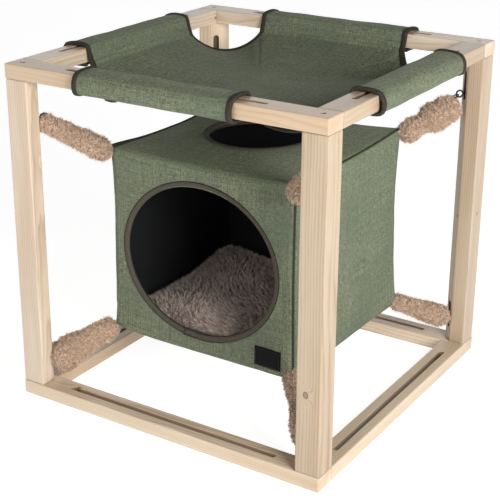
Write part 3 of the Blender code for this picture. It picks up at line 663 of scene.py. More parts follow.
# Creases in the tray: middle, direction, (half-length, half-width), depth
TRAY_CREASES = [((-0.130, -0.085), (0.80, -0.60), (0.035, 0.008), 0.0030),
                ((-0.085, -0.060), (0.55, 0.83), (0.040, 0.010), 0.0025),
                ((0.090, 0.110), (0.90, 0.43), (0.050, 0.012), 0.0018),
                ((0.120, -0.120), (0.70, 0.71), (0.050, 0.012), 0.0020)]
# Section of the binding tape at the corners of the sheet: (over the cloth from its edge, out of it)
HEM_SECTION = [(-0.0026, 0.0), (-0.0020, 0.0018), (-0.0004, 0.0027), (0.0042, 0.0024), (0.0056, 0.0015),
               (0.0056, -0.0010), (0.0040, -0.0018), (-0.0004, -0.0024), (-0.0020, -0.0017)]


def bell(x, y, width):
    """Bell curve over a plane, 1 in its middle."""
    return math.exp(-(x / width[0]) ** 2 - (y / width[1]) ** 2)


def turned(quarter, point):
    return Matrix.Rotation(quarter * QUARTER, 3, "Z") @ Vector(point)


def fold_shift(quarter, along):
    """How much nearer to its rail a fold lies towards its ends."""
    low, high = SLEEVE_SPANS[quarter]
    return FOLD_BOW * abs((2 * along - low - high) / (high - low)) ** 4


def tray_edge():
    """Edge of the tray: four fold lines and four cut-outs, as (points, index where each fold starts)."""
    edge, folds = [], []
    for quarter in range(4):
        low, high = SLEEVE_SPANS[quarter]
        following = -SLEEVE_SPANS[(quarter + 1) % 4][0]
        folds.append(len(edge))
        for i in range(ALONG_STEPS):
            along = low + (high - low) * i / ALONG_STEPS
            edge.append(turned(quarter, (FOLD_HALF_WIDTH + fold_shift(quarter, along), along, FOLD_Z)))
        outer = FOLD_HALF_WIDTH + FOLD_BOW
        for i in range(CUT_STEPS):
            share = (1 - math.cos(math.pi * i / CUT_STEPS)) / 2
            bow = 4 * share * (1 - share)
            inward = CUT_OUT_DEPTH * bow / math.sqrt(2)
            x = outer + (following - outer) * share - inward
            y = high + (outer - high) * share - inward
            edge.append(turned(quarter, (x, y, FOLD_Z - CUT_OUT_DROOP * bow ** 0.8)))
    return edge, folds


def calmed(edge, reach=16):
    """The tray's edge with the ends of its folds lowered towards the cut-outs."""
    heights = np.array([p.z for p in edge])
    spread = sum(np.roll(heights, k) for k in range(-reach, reach + 1)) / (2 * reach + 1)
    return [Vector((p.x, p.y, min(p.z, z))) for p, z in zip(edge, spread)]


def tray_point(edge_point, share):
    """Point of the tray between its middle and a point of its edge, with soft creases."""
    x, y = edge_point.x * share, edge_point.y * share
    z = TRAY_MIDDLE_Z + (edge_point.z - TRAY_MIDDLE_Z) * share ** 2.4
    calm = 1 - share ** 6
    swell = noise.noise(Vector((x * 9, y * 9, 1.7)))
    ripple = noise.noise(Vector((x * 26 + 3, y * 26, 4.1)))
    z += calm * (0.0022 * swell + 0.0007 * ripple)
    for spot, way, size, deep in TRAY_CREASES:
        off = Vector((x, y)) - Vector(spot)
        along, across = off.dot(Vector(way)), off.dot(Vector((-way[1], way[0])))
        z -= calm * deep * bell(along, across, size)
    return Vector((x, y, z))


def sleeve_ripple(quarter, along, run):
    """How far the sleeve stands off at a place along its rail and round it."""
    return 0.0009 * noise.noise(Vector((along * 22, run * 30, 7.0 * quarter)))


def sleeve_rows(quarter):
    """Rows of points round a rail, from the tray's fold to the edge under it, with their cloth places."""
    low, high = SLEEVE_SPANS[quarter]
    section = spline([(out, z, 0) for out, z in SLEEVE_SECTION], 0.0022)
    rows, run = [], 0.0
    for i, p in enumerate(section):
        if i:
            run += (p - section[i - 1]).length
        before, after = section[max(i - 1, 0)], section[min(i + 1, len(section) - 1)]
        outward = Vector((-(after - before).y, (after - before).x, 0)).normalized()
        points, places = [], []
        for k in range(ALONG_STEPS + 1):
            along = low + (high - low) * k / ALONG_STEPS
            q = p + outward * (sleeve_ripple(quarter, along, run) if i else 0.0)
            q.x += fold_shift(quarter, along) * max(0.0, min(1.0, (-0.0360 - p.x) / 0.0140))
            points.append(turned(quarter, (HALF + q.x, along, 0)) + Vector((0, 0, q.y)))
            flat = turned(quarter, (FOLD_HALF_WIDTH + fold_shift(quarter, along) + run, along, 0))
            places.append((flat.x, flat.y))
        rows.append((points, places, outward))
    return rows


def sleeve_end(quarter, rows, last):
    """Frames along the free end of a sleeve, from the tray's fold round the rail."""
    line = []
    for points, _, outward in rows:
        up = turned(quarter, (outward.x, 0, 0)) + Vector((0, 0, outward.y))
        line.append((points[-1 if last else 0], turned(quarter, (0, -1 if last else 1, 0)), up))
    return line


def build_hammock(cloth, tape, thread):
    """Hammock sheet of one piece, the stitched tape round its corner edges, and the closure's tab."""
    edge, folds = tray_edge()
    skin = Skin()
    loops = []
    calm = calmed(edge)
    shares = [1.0, 0.993, 0.985] + [0.985 * (1 - shell / TRAY_SHELLS) for shell in range(1, TRAY_SHELLS)]
    for share in shares:
        points = [tray_point(p.lerp(q, min(1.0, (1 - share) / 0.10)), share) for p, q in zip(edge, calm)]
        loops.append(skin.row(points, [(p.x, p.y) for p in points]))
    for outer, inner in zip(loops, loops[1:]):
        skin.strip(outer, inner, closed=True)
    middle = skin.row([tray_point(edge[0], 0.0)], [(0.0, 0.0)])[0]
    for i, a in enumerate(loops[-1]):
        skin.face(a, loops[-1][(i + 1) % len(loops[-1])], middle)
    sleeves = [sleeve_rows(quarter) for quarter in range(4)]
    for rows in sleeves:
        skin.grid([skin.row(points, places) for points, places, _ in rows], flip=True)
    sheet = skin.finish("hammock", cloth, CLOTH_THICKNESS)
    dress(sheet, "frame", "hammock_sheet")
    tapes = []
    count = len(edge)
    for quarter in range(4):
        following = (quarter + 1) % 4
        line = sleeve_end(quarter, sleeves[quarter], True)[::-1]
        start = folds[quarter] + ALONG_STEPS
        for i in range(1, CUT_STEPS):
            here = edge[(start + i) % count]
            inner = tray_point(here, 1 - 1 / TRAY_SHELLS)
            along = edge[(start + i + 1) % count] - edge[(start + i - 1) % count]
            across = (inner - here).normalized()
            line.append((here, across, along.cross(across).normalized()))
        line += sleeve_end(following, sleeves[following], False)
        name = "hammock_tape_" + list(CORNERS)[quarter]
        half = len(line) / 2
        widen = [1 + 0.45 * math.exp(-((i - half) / 15) ** 4) for i in range(len(line))]
        line = [(p, a * wide, u) for (p, a, u), wide in zip(settled(line), widen)]
        piece = sweep(name, line, HEM_SECTION, tape, closed=False)
        seam = stitches(name + "_stitches", line, 0.0042, 0.0022, TAPE_STITCH, thread)
        tapes += [piece, seam]
    fold = [Vector((-0.0765 + 0.002 * k, -0.2490, 0.4758 - 0.0011 * math.sin(math.pi * k / 8)))
            for k in range(9)]
    tab = framed(fold, Vector((0, 1, 0)))
    tapes.append(sweep("sleeve_closure", tab, circle(0.0034, 12, 0.8), tape, closed=False))
    for piece in tapes:
        dress(piece, "frame")


def settled(line, rounds=6):
    """Frames along a line with their directions smoothed, so that a swept piece doesn't kink."""
    places = [p for p, _, _ in line]
    across = [a.copy() for _, a, _ in line]
    up = [u.copy() for _, _, u in line]
    for _ in range(rounds):
        for vectors in (across, up):
            old = [v.copy() for v in vectors]
            for i in range(1, len(line) - 1):
                vectors[i] = (old[i - 1] + 2 * old[i] + old[i + 1]).normalized()
    return list(zip(places, across, up))


def pod_spread(along, height):
    return POD_HALF_WIDTH - POD_BOTTOM_SPREAD * height - POD_PULL_IN * (1 - (along * height) ** 2)


def pod_sag(u, v, height):
    if height < 0:
        return POD_BOTTOM_SAG * height * (1 - (u * v) ** 2)
    return height * (POD_TOP_CROWN * (1 - u * u) * (1 - v * v) - POD_TOP_DIP * (1 - (u * v) ** 2))


def pod_point(place, inset):
    """Point of the pod's skin, `inset` deep, for a place on a cube of side 2."""
    half = Vector((POD_HALF_WIDTH, POD_HALF_WIDTH, POD_HALF_HEIGHT))
    sharp = Vector([p * h for p, h in zip(place, half)])
    core = Vector([max(POD_EDGE_ROUND - h, min(h - POD_EDGE_ROUND, s)) for s, h in zip(sharp, half)])
    sharp = core + (sharp - core).normalized() * (POD_EDGE_ROUND - inset)
    sharp.x *= pod_spread(place[1], place[2]) / half.x
    sharp.y *= pod_spread(place[0], place[2]) / half.y
    sharp.z += pod_sag(place[0], place[1], place[2])
    return sharp + Vector((0, 0, POD_MIDDLE_Z))


def pod_stops(across, rounding=4):
    """Grid lines over a side of the pod, closer together over its rounded edges."""
    edge = 1 - POD_EDGE_ROUND / POD_HALF_WIDTH
    middle = [edge * (2 * i / across - 1) for i in range(across + 1)]
    rim = [edge + (1 - edge) * (i + 1) / rounding for i in range(rounding)]
    return [-r for r in reversed(rim)] + middle + rim


def square_rim(stops):
    """Grid places once round the edge of a square side, back to the first."""
    rim = [(s, -1) for s in stops[:-1]] + [(1, t) for t in stops[:-1]]
    return rim + [(s, 1) for s in reversed(stops[1:])] + [(-1, t) for t in reversed(stops)]


def creased(place, inset, crease, pull=1.0):
    """Point of the pod's skin, with the shallow folds at its pulled corners and its slack left edge."""
    point = pod_point(place, inset)
    outward = (point - pod_point(place, inset + 0.004)).normalized()
    u, v, w = place
    slack = bell(1 + u, 1 + v, POD_SLACK_REACH)
    slack *= POD_SLACK * pull * (0.3 + 0.7 * math.exp(-((1 + w) / POD_SLACK_HEIGHT) ** 2))
    if not crease:
        return point - outward * slack
    lift = 0.0011 * noise.noise(point * 11.0) + 0.00045 * noise.noise(point * 34.0)
    reach = math.sqrt((1 - abs(u)) ** 2 + (1 - abs(v)) ** 2 + (1 - abs(w)) ** 2)
    bearing = math.atan2(1 - abs(u), 1 - abs(w)) + math.atan2(1 - abs(v), 1 - abs(w))
    fold = POD_FOLD * math.exp(-(reach / POD_FOLD_REACH) ** 2)
    lift += fold * math.sin(5.0 * bearing) * min(1, reach * 8)
    return point + outward * (crease * lift - slack)


def pod_skin(name, material, inset, thickness, crease, across=36):
    """One skin of the pod: six panels, two of them round an opening."""
    stops = pod_stops(across)
    skin = Skin()
    metres = (POD_HALF_WIDTH, POD_HALF_WIDTH, POD_HALF_HEIGHT)
    door = ((DOOR_X / POD_HALF_WIDTH, (DOOR_Z - POD_MIDDLE_Z) / POD_HALF_HEIGHT),
            (DOOR_HALF_WIDTH / POD_HALF_WIDTH, DOOR_HALF_HEIGHT / POD_HALF_HEIGHT))
    top = ((0.0, 0.0), (TOP_OPENING_RADIUS / POD_HALF_WIDTH,) * 2)
    for axis in range(3):
        for side in (-1, 1):
            a, b = [(1, 2), (0, 2), (0, 1)][axis]
            hole = door if (axis, side) == (1, -1) else top if (axis, side) == (2, 1) else None

            def spot(s, t):
                place = [0, 0, 0]
                place[axis], place[a], place[b] = side, s, t
                return place

            if hole is None:
                rows = []
                for s in stops:
                    places = [(s * metres[a] + axis, t * metres[b] + side) for t in stops]
                    rows.append(skin.row([creased(spot(s, t), inset, crease) for t in stops], places))
                skin.grid(rows)
                continue
            (middle_s, middle_t), (wide, high) = hole
            shells = 14 if hole is door else 34
            rows = []
            for shell in range(shells + 1):
                share = shell / shells
                fade = 1 - share ** 4
                points, places = [], []
                for s, t in square_rim(stops)[:-1]:
                    angle = math.atan2(t - middle_t, s - middle_s)
                    end_s, end_t = middle_s + wide * math.cos(angle), middle_t + high * math.sin(angle)
                    here = (s + (end_s - s) * share, t + (end_t - t) * share)
                    points.append(creased(spot(*here), inset, crease * fade, fade))
                    places.append((here[0] * metres[a] + axis, here[1] * metres[b] + side))
                rows.append(skin.row(points, places))
            for low, high_row in zip(rows, rows[1:]):
                skin.strip(low, high_row, closed=True)
    return skin.finish(name, material, thickness, -1.0)


def pod_front_y(x, z):
    return -pod_spread(x / POD_HALF_WIDTH, (z - POD_MIDDLE_Z) / POD_HALF_HEIGHT)


def pod_top_z(x, y):
    return POD_TOP_Z + pod_sag(x / POD_HALF_WIDTH, y / POD_HALF_WIDTH, 1)


def door_line(steps=160):
    """Frames round the doorway, from its foot: place in the middle of the wall, outward, out of the wall."""
    line = []
    for k in range(steps):
        t = 2 * math.pi * k / steps - QUARTER
        x, z = DOOR_HALF_WIDTH * math.cos(t), DOOR_HALF_HEIGHT * math.sin(t)
        outward = Vector((x / DOOR_HALF_WIDTH ** 2, 0, z / DOOR_HALF_HEIGHT ** 2)).normalized()
        x, z = x + DOOR_X, z + DOOR_Z
        wall = pod_front_y(x, z) + (COVER_THICKNESS + LINING_THICKNESS) / 2
        line.append((Vector((x, wall, z)), outward, Vector((0, -1, 0))))
    return line


def top_line(steps=110):
    line = []
    for k in range(steps):
        t = 2 * math.pi * k / steps
        outward = Vector((math.cos(t), math.sin(t), 0))
        spot = outward * TOP_OPENING_RADIUS
        wall = pod_top_z(spot.x, spot.y) - (COVER_THICKNESS + LINING_THICKNESS) / 2
        line.append((Vector((spot.x, spot.y, wall)), outward, Vector((0, 0, 1))))
    return line


# Section of the binding tape round an opening: (out from the opening's edge, out of the wall)
BINDING_SECTION = [(-0.0062, -0.0006), (-0.0060, 0.0012), (-0.0046, 0.0027), (-0.0022, 0.0035),
                   (0.0004, 0.0036), (0.0020, 0.0033), (0.0022, 0.0024), (0.0010, 0.0018),
                   (0.0010, -0.0016), (0.0020, -0.0026), (0.0006, -0.0034), (-0.0028, -0.0035),
                   (-0.0050, -0.0024)]


def build_pod(cloth, lining, tape, piping, label, thread):
    """Pod cover, lining, bindings, piping and the blank label."""
    cover = pod_skin("pod_cloth", cloth, 0.0, COVER_THICKNESS, 1.0)
    dress(cover, "pod", "pod_cover")
    inner = pod_skin("pod_inside", lining, COVER_THICKNESS + LINING_GAP, LINING_THICKNESS, 0.0, 24)
    dress(inner, "pod", "pod_lining")
    on_cover = []
    for name, line, node, tall in (("door_tape", door_line(), "door_binding", 1.0),
                                   ("top_tape", top_line(), "top_opening_binding", 1.5)):
        ring = sweep(name, line, [(a, b * tall if b > 0 else b) for a, b in BINDING_SECTION], tape)
        dress(ring, "pod", node)
        seam = stitches(name + "_stitches", line + line[:1], -0.0002, 0.0037 * tall, TAPE_STITCH, thread)
        dress(seam, "pod")
        on_cover += [ring, seam]
        if name == "door_tape":
            thicker = [(a * 1.18, b * 1.35) for a, b in BINDING_SECTION]
            lap = sweep("door_tape_lap", line[-5:], thicker, tape, closed=False)
            dress(lap, "pod")
            on_cover.append(lap)
    on_cover += build_piping(cloth, piping)
    on_cover += build_label(label, thread)


def build_piping(cloth, dark):
    """Piping round the two sides: dark where it stands out, rolled double along the top left edge; the dark
    cords are painted shade along the seams, the inner one of the double in a stitched groove.
    """
    stops = pod_stops(36)
    count = len(stops) - 1
    pieces = []
    # The dark cords are painted shade along the seams.
    for side, name, edges in ((-1, "left", ((0, 2, 0.0011, 0.0, cloth), (2, 3, 0.0030, 0.0006, dark),
                                            (2, 3, 0.0025, 0.0056, dark), (3, 4, 0.0011, 0.0, cloth))),
                              (1, "right", ((0, 2, 0.0011, 0.0, cloth), (2, 4, 0.0015, 0.0, dark)))):
        for number, (first, last, radius, shift, material) in enumerate(edges):
            line = []
            for s, t in square_rim(stops)[first * count:last * count + 1]:
                point = creased((side, s, t), 0.0, 1.0)
                outward = (point - pod_point((side, s, t), 0.004)).normalized()
                line.append(point + outward * (radius * 0.4) + Vector((-side * shift, 0, 0)))
            bent = framed(line, Vector((side, 0, 0.3)))
            cord = sweep("piping_%s_%d" % (name, number), bent, circle(radius, 8), material, closed=False)
            dress(cord, "pod")
            pieces.append(cord)
    return pieces


def build_label(material, thread):
    """Blank woven label with turned edges, sewn on near the doorway."""
    columns, rows = 20, 14
    skin = Skin()
    grid = []
    for i in range(columns + 1):
        points, places = [], []
        for j in range(rows + 1):
            u, v = 2 * i / columns - 1, 2 * j / rows - 1
            x, z = LABEL_PLACE[0] + LABEL_SIZE[0] * u / 2, LABEL_PLACE[1] + LABEL_SIZE[1] * v / 2
            rim = max(abs(u) ** 12, abs(v) ** 10)
            out = 0.0012 + 0.0005 * (1 - rim) + 0.0003 * noise.noise(Vector((x * 60, z * 60, 2.0)))
            points.append(Vector((x, pod_front_y(x, z) - out, z)))
            places.append((x, z))
        grid.append(skin.row(points, places))
    skin.grid(grid)
    made = skin.finish("label", material, 0.0009)
    dress(made, "pod", "blank_label")
    corners = [(-1, -1), (1, -1), (1, 1), (-1, 1), (-1, -1)]
    line = []
    for (u0, v0), (u1, v1) in zip(corners, corners[1:]):
        for k in range(24):
            u, v = u0 + (u1 - u0) * k / 24, v0 + (v1 - v0) * k / 24
            x = LABEL_PLACE[0] + (LABEL_SIZE[0] / 2 - 0.0022) * u
            z = LABEL_PLACE[1] + (LABEL_SIZE[1] / 2 - 0.0022) * v
            line.append((Vector((x, pod_front_y(x, z) - 0.0022, z)), Vector((0, 0, 1)), Vector((0, -1, 0))))
    seam = stitches("label_stitches", line, 0.0, 0.0, LABEL_STITCH, thread)
    dress(seam, "pod")
    return [made, seam]


def unit(vectors):
    return vectors / np.linalg.norm(vectors, axis=1)[:, None]


def tufted(roots, normals, reach, count, comb, rng, dimmest=0.72):
    """Way and shade of each strand: strands that are nearest to one tuft lean together and share a shade."""
    centres = rng.choice(len(roots), count, replace=False)
    tree = kdtree.KDTree(count)
    for i, c in enumerate(centres):
        tree.insert(roots[c], i)
    tree.balance()
    nearest = np.array([tree.find(r)[1] for r in roots])
    way = normals[centres] + 0.30 * rng.normal(size=(count, 3)) + comb[centres]
    tips = roots[centres] + reach * unit(way)
    shade = rng.uniform(dimmest, 1.12, count)[nearest]
    return unit(tips[nearest] - roots), shade


def set_pile(mesh, shades):
    """Shade of the pile at each point of a mesh, for pile_material."""
    mesh.attributes.new("pile", "FLOAT", "POINT").data.foreach_set("value", shades)


def strands(name, roots, normals, lengths, lean, curl, width, material, rng,
            segments=4, spread=0.45, tone=1.0, root_shade=0.12):
    """Pile of flat tapered strands, each an arc that leans its own way, with their shades in `pile`."""
    count = len(roots)
    way = unit(normals + spread * rng.normal(size=(count, 3)) + lean)
    bend = rng.normal(size=(count, 3)) + 1.5 * np.broadcast_to(lean, (count, 3))
    bend = unit(bend - (bend * way).sum(1)[:, None] * way)
    side = np.cross(way, bend)
    turn = rng.uniform(0.6 * curl, 1.4 * curl, count)[:, None]
    shade = rng.uniform(0.25, 1.0, count) * tone
    points, shades = [], []
    for k in range(segments + 1):
        t = k / segments
        forward, aside = np.sin(turn * t) / turn, (1 - np.cos(turn * t)) / turn
        middle = roots + lengths[:, None] * (way * forward + bend * aside)
        half = width * 0.5 * (1 - t ** 2 * 0.8)
        points += [middle - side * half, middle + side * half]
        # Painted shade: each strand darkens towards its root.
        shades += [shade * (root_shade + (1 - root_shade) * t)] * 2
    points = np.stack(points, 1).reshape(-1, 3)
    shades = np.stack(shades, 1).reshape(-1)
    quads = np.array([[2 * k, 2 * k + 1, 2 * k + 3, 2 * k + 2] for k in range(segments)])
    per = 2 * (segments + 1)
    faces = (quads[None] + per * np.arange(count)[:, None, None]).reshape(-1, 4)
    mesh = bpy.data.meshes.new(name)
    mesh.vertices.add(len(points))
    mesh.vertices.foreach_set("co", points.astype(np.float32).ravel())
    mesh.loops.add(faces.size)
    mesh.loops.foreach_set("vertex_index", faces.astype(np.int32).ravel())
    mesh.polygons.add(len(faces))
    mesh.polygons.foreach_set("loop_start", np.arange(0, faces.size, 4, dtype=np.int32))
    mesh.update(calc_edges=True)
    set_pile(mesh, shades.astype(np.float32))
    return add_piece(name, mesh, material)


def surface_samples(obj, count, rng, keep=None):
    """Random points on a mesh by area, with smooth normals."""
    mesh = obj.data
    mesh.calc_loop_triangles()
    places = np.array([v.co for v in mesh.vertices])
    normals = np.array([v.normal for v in mesh.vertices])
    triangles = np.array([t.vertices for t in mesh.loop_triangles])
    a, b, c = (places[triangles[:, k]] for k in range(3))
    area = np.linalg.norm(np.cross(b - a, c - a), axis=1)
    if keep is not None:
        area = area * keep((a + b + c) / 3)
    pick = rng.choice(len(triangles), count, p=area / area.sum())
    r, s = np.sqrt(rng.uniform(size=count)), rng.uniform(size=count)
    weights = np.stack([1 - r, r * (1 - s), r * s], 1)[:, :, None]
    corners = triangles[pick]
    roots = (places[corners] * weights).sum(1)
    return roots, unit((normals[corners] * weights).sum(1))


# Plush thickness along each strap, from its eye to the pod: (share of the length, share of STRAP_RADIUS)
STRAP_RADIUS = 0.0165
EVEN_STRAP = [(0.0, 0.60), (0.06, 0.90), (0.25, 1.00), (0.50, 0.92), (0.72, 1.02), (0.94, 0.90), (1.0, 0.55)]
STRAP_SHAPES = {
    "upper_back_right": [(0.0, 0.70), (0.05, 1.08), (0.18, 1.32), (0.36, 1.38), (0.50, 1.30), (0.60, 0.96),
                         (0.66, 0.90), (0.78, 1.06), (0.90, 1.04), (0.97, 0.85), (1.0, 0.55)],
    "upper_front_left": [(0.0, 0.60), (0.05, 0.80), (0.20, 0.86), (0.45, 0.92), (0.65, 1.02), (0.85, 1.04),
                         (0.96, 0.86), (1.0, 0.55)],
    "lower_back_right": [(0.0, 0.70), (0.08, 1.05), (0.25, 1.08), (0.45, 0.98), (0.62, 0.82), (0.80, 0.82),
                         (0.94, 0.80), (1.0, 0.55)],
    "lower_front_left": [(0.0, 1.20), (0.05, 1.46), (0.20, 1.52), (0.40, 1.32), (0.62, 1.10), (0.85, 1.06),
                         (0.96, 0.90), (1.0, 0.55)],
    "lower_front_right": [(0.0, 1.10), (0.08, 1.38), (0.25, 1.32), (0.45, 1.02), (0.56, 0.82), (0.66, 0.92),
                          (0.85, 0.88), (0.96, 0.86), (1.0, 0.70)],
}
# How far the plush hangs below the line from eye to pod: at the eye, at the pod
STRAP_DROOPS = {"upper_back_right": (0.0120, 0.010), "upper_front_left": (0.007, 0.009),
                "lower_back_right": (-0.004, 0.002), "lower_front_left": (0.004, 0.001),
                "lower_front_right": (0.001, 0.001)}
# Where the plush starts past the eye, and how far before the pod's corner it ends
STRAP_ENDS = {"upper_back_right": (0.0095, 0.0075), "upper_front_left": (-0.0030, 0.0075),
              "lower_front_left": (-0.0060, 0.0075), "lower_front_right": (-0.0060, 0.0020)}


def eye_place(level, corner):
    azimuth = (CORNERS[corner] + 0.5) * QUARTER
    spot = (EYE_REACH * math.cos(azimuth), EYE_REACH * math.sin(azimuth), EYE_HEIGHTS[level])
    return Vector(spot), azimuth


def pod_corner(level, corner):
    """Middle of the rounding of the pod's corner that a strap pulls on."""
    turn = (CORNERS[corner] + 0.5) * QUARTER
    reach, height = POD_CORNERS[level]
    return Vector((reach * math.sqrt(2) * math.cos(turn), reach * math.sqrt(2) * math.sin(turn), height))


def build_strap(level, corner, plush, rng):
    """Plush tube from the hook to the pod's corner, with lumps, curls and loose hairs."""
    key = level + "_" + corner
    eye, _ = eye_place(level, corner)
    target = pod_corner(level, corner)
    along = (target - eye).normalized()
    side = along.cross(Vector((0, 0, 1))).normalized()
    up = side.cross(along)
    full = (target - eye).length
    start, spare = STRAP_ENDS.get(key, (-0.0010, 0.0075))
    end = full - spare
    droop = STRAP_DROOPS.get(key, (0.009, 0.010) if level == "upper" else (-0.004, 0.001))
    shape = STRAP_SHAPES.get(key, EVEN_STRAP)
    seed = 13.7 * CORNERS[corner] + (5.1 if level == "upper" else 0.0)
    sides, steps = 48, 60
    points = []
    for i in range(steps + 1):
        t = i / steps
        swell = np.interp(t, [s for s, _ in shape], [r for _, r in shape])
        middle = eye + along * (start + (end - start) * t) - up * (droop[0] + (droop[1] - droop[0]) * t)
        for k in range(sides):
            turn = 2 * math.pi * k / sides
            out = side * math.cos(turn) + up * math.sin(turn)
            lump = 0.11 * noise.noise(middle * 70 + out * 1.3 + Vector((seed, 0, 0)))
            tuft = 0.11 * noise.noise((middle + out * STRAP_RADIUS) * 190 + Vector((0, seed, 0)))
            points.append(middle + out * (STRAP_RADIUS * swell * (0.97 + lump + tuft) - PLUSH_DEPTH))
    faces = [(i + k, i + (k + 1) % sides, i + sides + (k + 1) % sides, i + sides + k)
             for i in range(0, steps * sides, sides) for k in range(sides)]
    faces += [tuple(range(sides - 1, -1, -1)), tuple(steps * sides + k for k in range(sides))]
    name = "plush_" + key
    tube = add_mesh(name, points, faces, plush)
    face_outward(tube.data)
    # The tube under the pile is dark: painted shade deep in the pile.
    set_pile(tube.data, [0.08] * len(points))
    roots, normals = surface_samples(tube, PLUSH_STRANDS, rng)
    lengths = rng.uniform(*PLUSH_LENGTHS, len(roots))
    lengths *= np.where(rng.uniform(size=len(roots)) < 0.15, 1.45, 1.0)
    comb = np.zeros((len(roots), 3))
    lean, tone = tufted(roots, normals, PLUSH_TUFT_REACH, PLUSH_TUFTS, comb, rng, 0.78)
    pile = strands(name + "_pile", roots, normals, lengths, 1.2 * lean, 1.7, PLUSH_WIDTH, plush, rng,
                   tone=tone, root_shade=0.24)
    for piece in (tube, pile):
        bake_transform(piece)
    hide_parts("strap_" + key)


def build_cushion(fleece, rng):
    """Fleece cushion: crowned, its sides drawn in between its corners, with a combed pile."""
    steps = 56
    stops = [math.sin(QUARTER * (2 * i / steps - 1)) for i in range(steps + 1)]
    bm = bmesh.new()
    top, bottom = [], []
    for u in stops:
        top.append([])
        bottom.append([])
        for v in stops:
            x = u * (CUSHION_HALF_WIDTH - PILE_ROOM_SIDE - CUSHION_DRAW_IN * (1 - v * v))
            y = v * (CUSHION_HALF_WIDTH - PILE_ROOM_SIDE - CUSHION_DRAW_IN * (1 - u * u))
            rim = (1 - u ** 8) * (1 - v ** 8)
            crown = (1 - u * u) * (1 - v * v)
            shoulder = CUSHION_SIDE_HEIGHT * 0.6
            height = shoulder + (CUSHION_CROWN - PILE_ROOM_TOP - shoulder) * (0.75 * rim + 0.25 * crown)
            height += 0.0028 * rim * noise.noise(Vector((x * 17, y * 17, 3.0)))
            beside, beyond = x - CUSHION_LIFT_PLACE[0], y - CUSHION_LIFT_PLACE[1]
            height += CUSHION_LIFT * bell(beside, beyond, CUSHION_LIFT_REACH)
            top[-1].append(bm.verts.new((x, y, CUSHION_FLOOR_Z + height)))
            x, y = x * 0.93, y * 0.93
            sag = pod_sag(x / POD_HALF_WIDTH, y / POD_HALF_WIDTH, -1)
            bottom[-1].append(bm.verts.new((x, y, CUSHION_FLOOR_Z + sag + 0.0004)))
    for i in range(steps):
        for j in range(steps):
            for grid in (top, bottom):
                bm.faces.new((grid[i][j], grid[i + 1][j], grid[i + 1][j + 1], grid[i][j + 1]))
    rim = [(i, 0) for i in range(steps)] + [(steps, j) for j in range(steps)]
    rim += [(i, steps) for i in range(steps, 0, -1)] + [(0, j) for j in range(steps, 0, -1)]
    for (i, j), (k, m) in zip(rim, rim[1:] + rim[:1]):
        bm.faces.new((bottom[i][j], bottom[k][m], top[k][m], top[i][j]))
    bmesh.ops.recalc_face_normals(bm, faces=bm.faces)
    mesh = bpy.data.meshes.new("fleece_cushion")
    bm.to_mesh(mesh)
    bm.free()
    # The pad under the pile is dark: painted shade deep in the pile.
    set_pile(mesh, [0.05] * len(mesh.vertices))
    pad = add_piece("fleece_cushion", mesh, fleece)
    upper = CUSHION_FLOOR_Z + 0.012
    roots, normals = surface_samples(pad, FLEECE_STRANDS, rng, lambda p: (p[:, 2] > upper).astype(float))
    comb = np.array([[1.3 * noise.noise(Vector((x * 15, y * 15, 0.5))) - 0.2,
                      1.3 * noise.noise(Vector((x * 15, y * 15, 9.5))) - 0.3, 0.0] for x, y, _ in roots])
    lengths = rng.uniform(*FLEECE_LENGTHS, len(roots))
    lean, tone = tufted(roots, normals, FLEECE_TUFT_REACH, FLEECE_TUFTS, comb, rng)
    lean = 1.8 * lean + 0.8 * comb
    pile = strands("fleece_pile", roots, normals, lengths, lean, 0.6, FLEECE_WIDTH, fleece, rng,
                   segments=3, spread=0.25, tone=tone)
    dress(pad, "cushion", "cushion")
    dress(pile, "cushion")


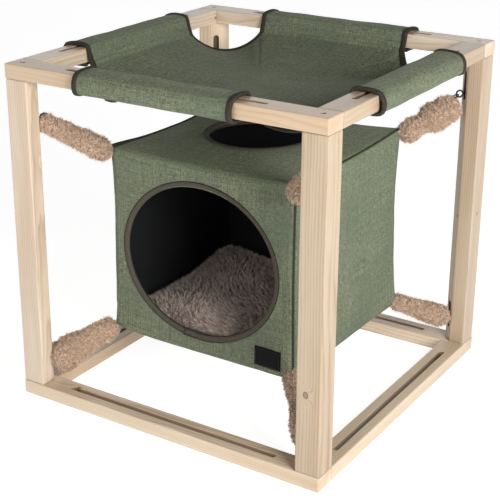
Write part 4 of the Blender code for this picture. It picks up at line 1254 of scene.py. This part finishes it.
def build_hardware(steel):
    """Screw eyes of bent wire, and the small rings with stems that hold the straps in them."""
    for level, corner in STRAPS:
        eye, azimuth = eye_place(level, corner)
        out = Vector((math.cos(azimuth), math.sin(azimuth), 0))
        up = Vector((0, 0, 1))
        square = out.cross(up)
        curl = [eye + EYE_RING_RADIUS * (out * math.cos(t) + up * math.sin(t))
                for t in [math.radians(-14 - 330 * k / 40) for k in range(41)]]
        shank = [eye + out * (EYE_RING_RADIUS + EYE_SHANK * (1 - k / 8)) for k in range(8)]
        line = framed(shank + [eye + out * (EYE_RING_RADIUS * 1.02) - up * 0.0004] + curl, square)
        name = level + "_" + corner
        wire = sweep("eye_wire_" + name, line, circle(EYE_WIRE_RADIUS, 10), steel, closed=False)
        dress(wire, "frame", "screw_eye_" + name)
        along = (pod_corner(level, corner) - eye).normalized()
        across = along.cross(square).normalized()
        middle = eye + along * HOOK_OFFSET
        ring = [middle + HOOK_RING_RADIUS * (square * math.sin(t) - along * math.cos(t))
                for t in [2 * math.pi * k / 36 for k in range(34)]]
        stem = [middle + along * (HOOK_RING_RADIUS + HOOK_STEM * k / 6) for k in range(7)]
        for start, bend, node in (("hook_wire_", ring, "strap_hook_" + name), ("hook_shaft_", stem, None)):
            bent = framed(bend, across)
            piece = sweep(start + name, bent, circle(HOOK_WIRE_RADIUS, 10), steel, closed=False)
            dress(piece, "strap_" + name, node)


def framed(points, hint):
    """Frames along a line of points, for sweep, with their sides square to the line."""
    line = []
    for i, p in enumerate(points):
        along = (points[min(i + 1, len(points) - 1)] - points[max(i - 1, 0)]).normalized()
        across = (hint - along * hint.dot(along)).normalized()
        line.append((p, across, along.cross(across)))
    return line


def dress_frame(steel, birch):
    """Procedural finishes on the wooden pieces, the screws and the dowels."""
    for name, settings in PINE.items():
        nodes[name].material_slots[0].material = pine(name + "_pine", *settings)
    for name, node in nodes.items():
        if "_screw_" in name and not name.startswith("screw"):
            node.material_slots[0].material = steel
        if "_dowel_" in name:
            node.material_slots[0].material = birch


def main():
    rng = np.random.default_rng(7)
    add_camera()
    add_studio()
    cloth, steel = green_cloth(), steel_material()
    hammock_tape = tape_material("dark_tape", (0.022, 0.019, 0.015), (0.055, 0.048, 0.038))
    # The two bands are painted shade: along the rim of the opening, and where the tape's edge meets the
    # cloth.
    opening_tape = tape_material("opening_tape", (0.046, 0.041, 0.031), (0.100, 0.087, 0.068),
                                 ((0.0005, 0.0011), (0.0106, 0.0010)))
    # The dark piping colour is painted shade along the pod's seams.
    piping = tape_material("piping_painted_seam_shade", (0.020, 0.022, 0.014), (0.055, 0.060, 0.040))
    tape_thread = thread_material("tape_thread", (0.075, 0.068, 0.058))
    plush = pile_material("beige_plush",
                          (0.22, 0.128, 0.080), (0.54, 0.372, 0.252), (0.88, 0.685, 0.520), 170.0)
    fleece = pile_material("brown_fleece", (0.05, 0.036, 0.029), (0.58, 0.45, 0.38), (1.0, 0.90, 0.81), 60.0)
    dress_frame(steel, birch_material())
    build_hammock(cloth, hammock_tape, tape_thread)
    build_pod(cloth, lining_material(), opening_tape, piping, label_material(), tape_thread)
    build_cushion(fleece, rng)
    for level, corner in STRAPS:
        build_strap(level, corner, plush, rng)
    build_hardware(steel)


main()
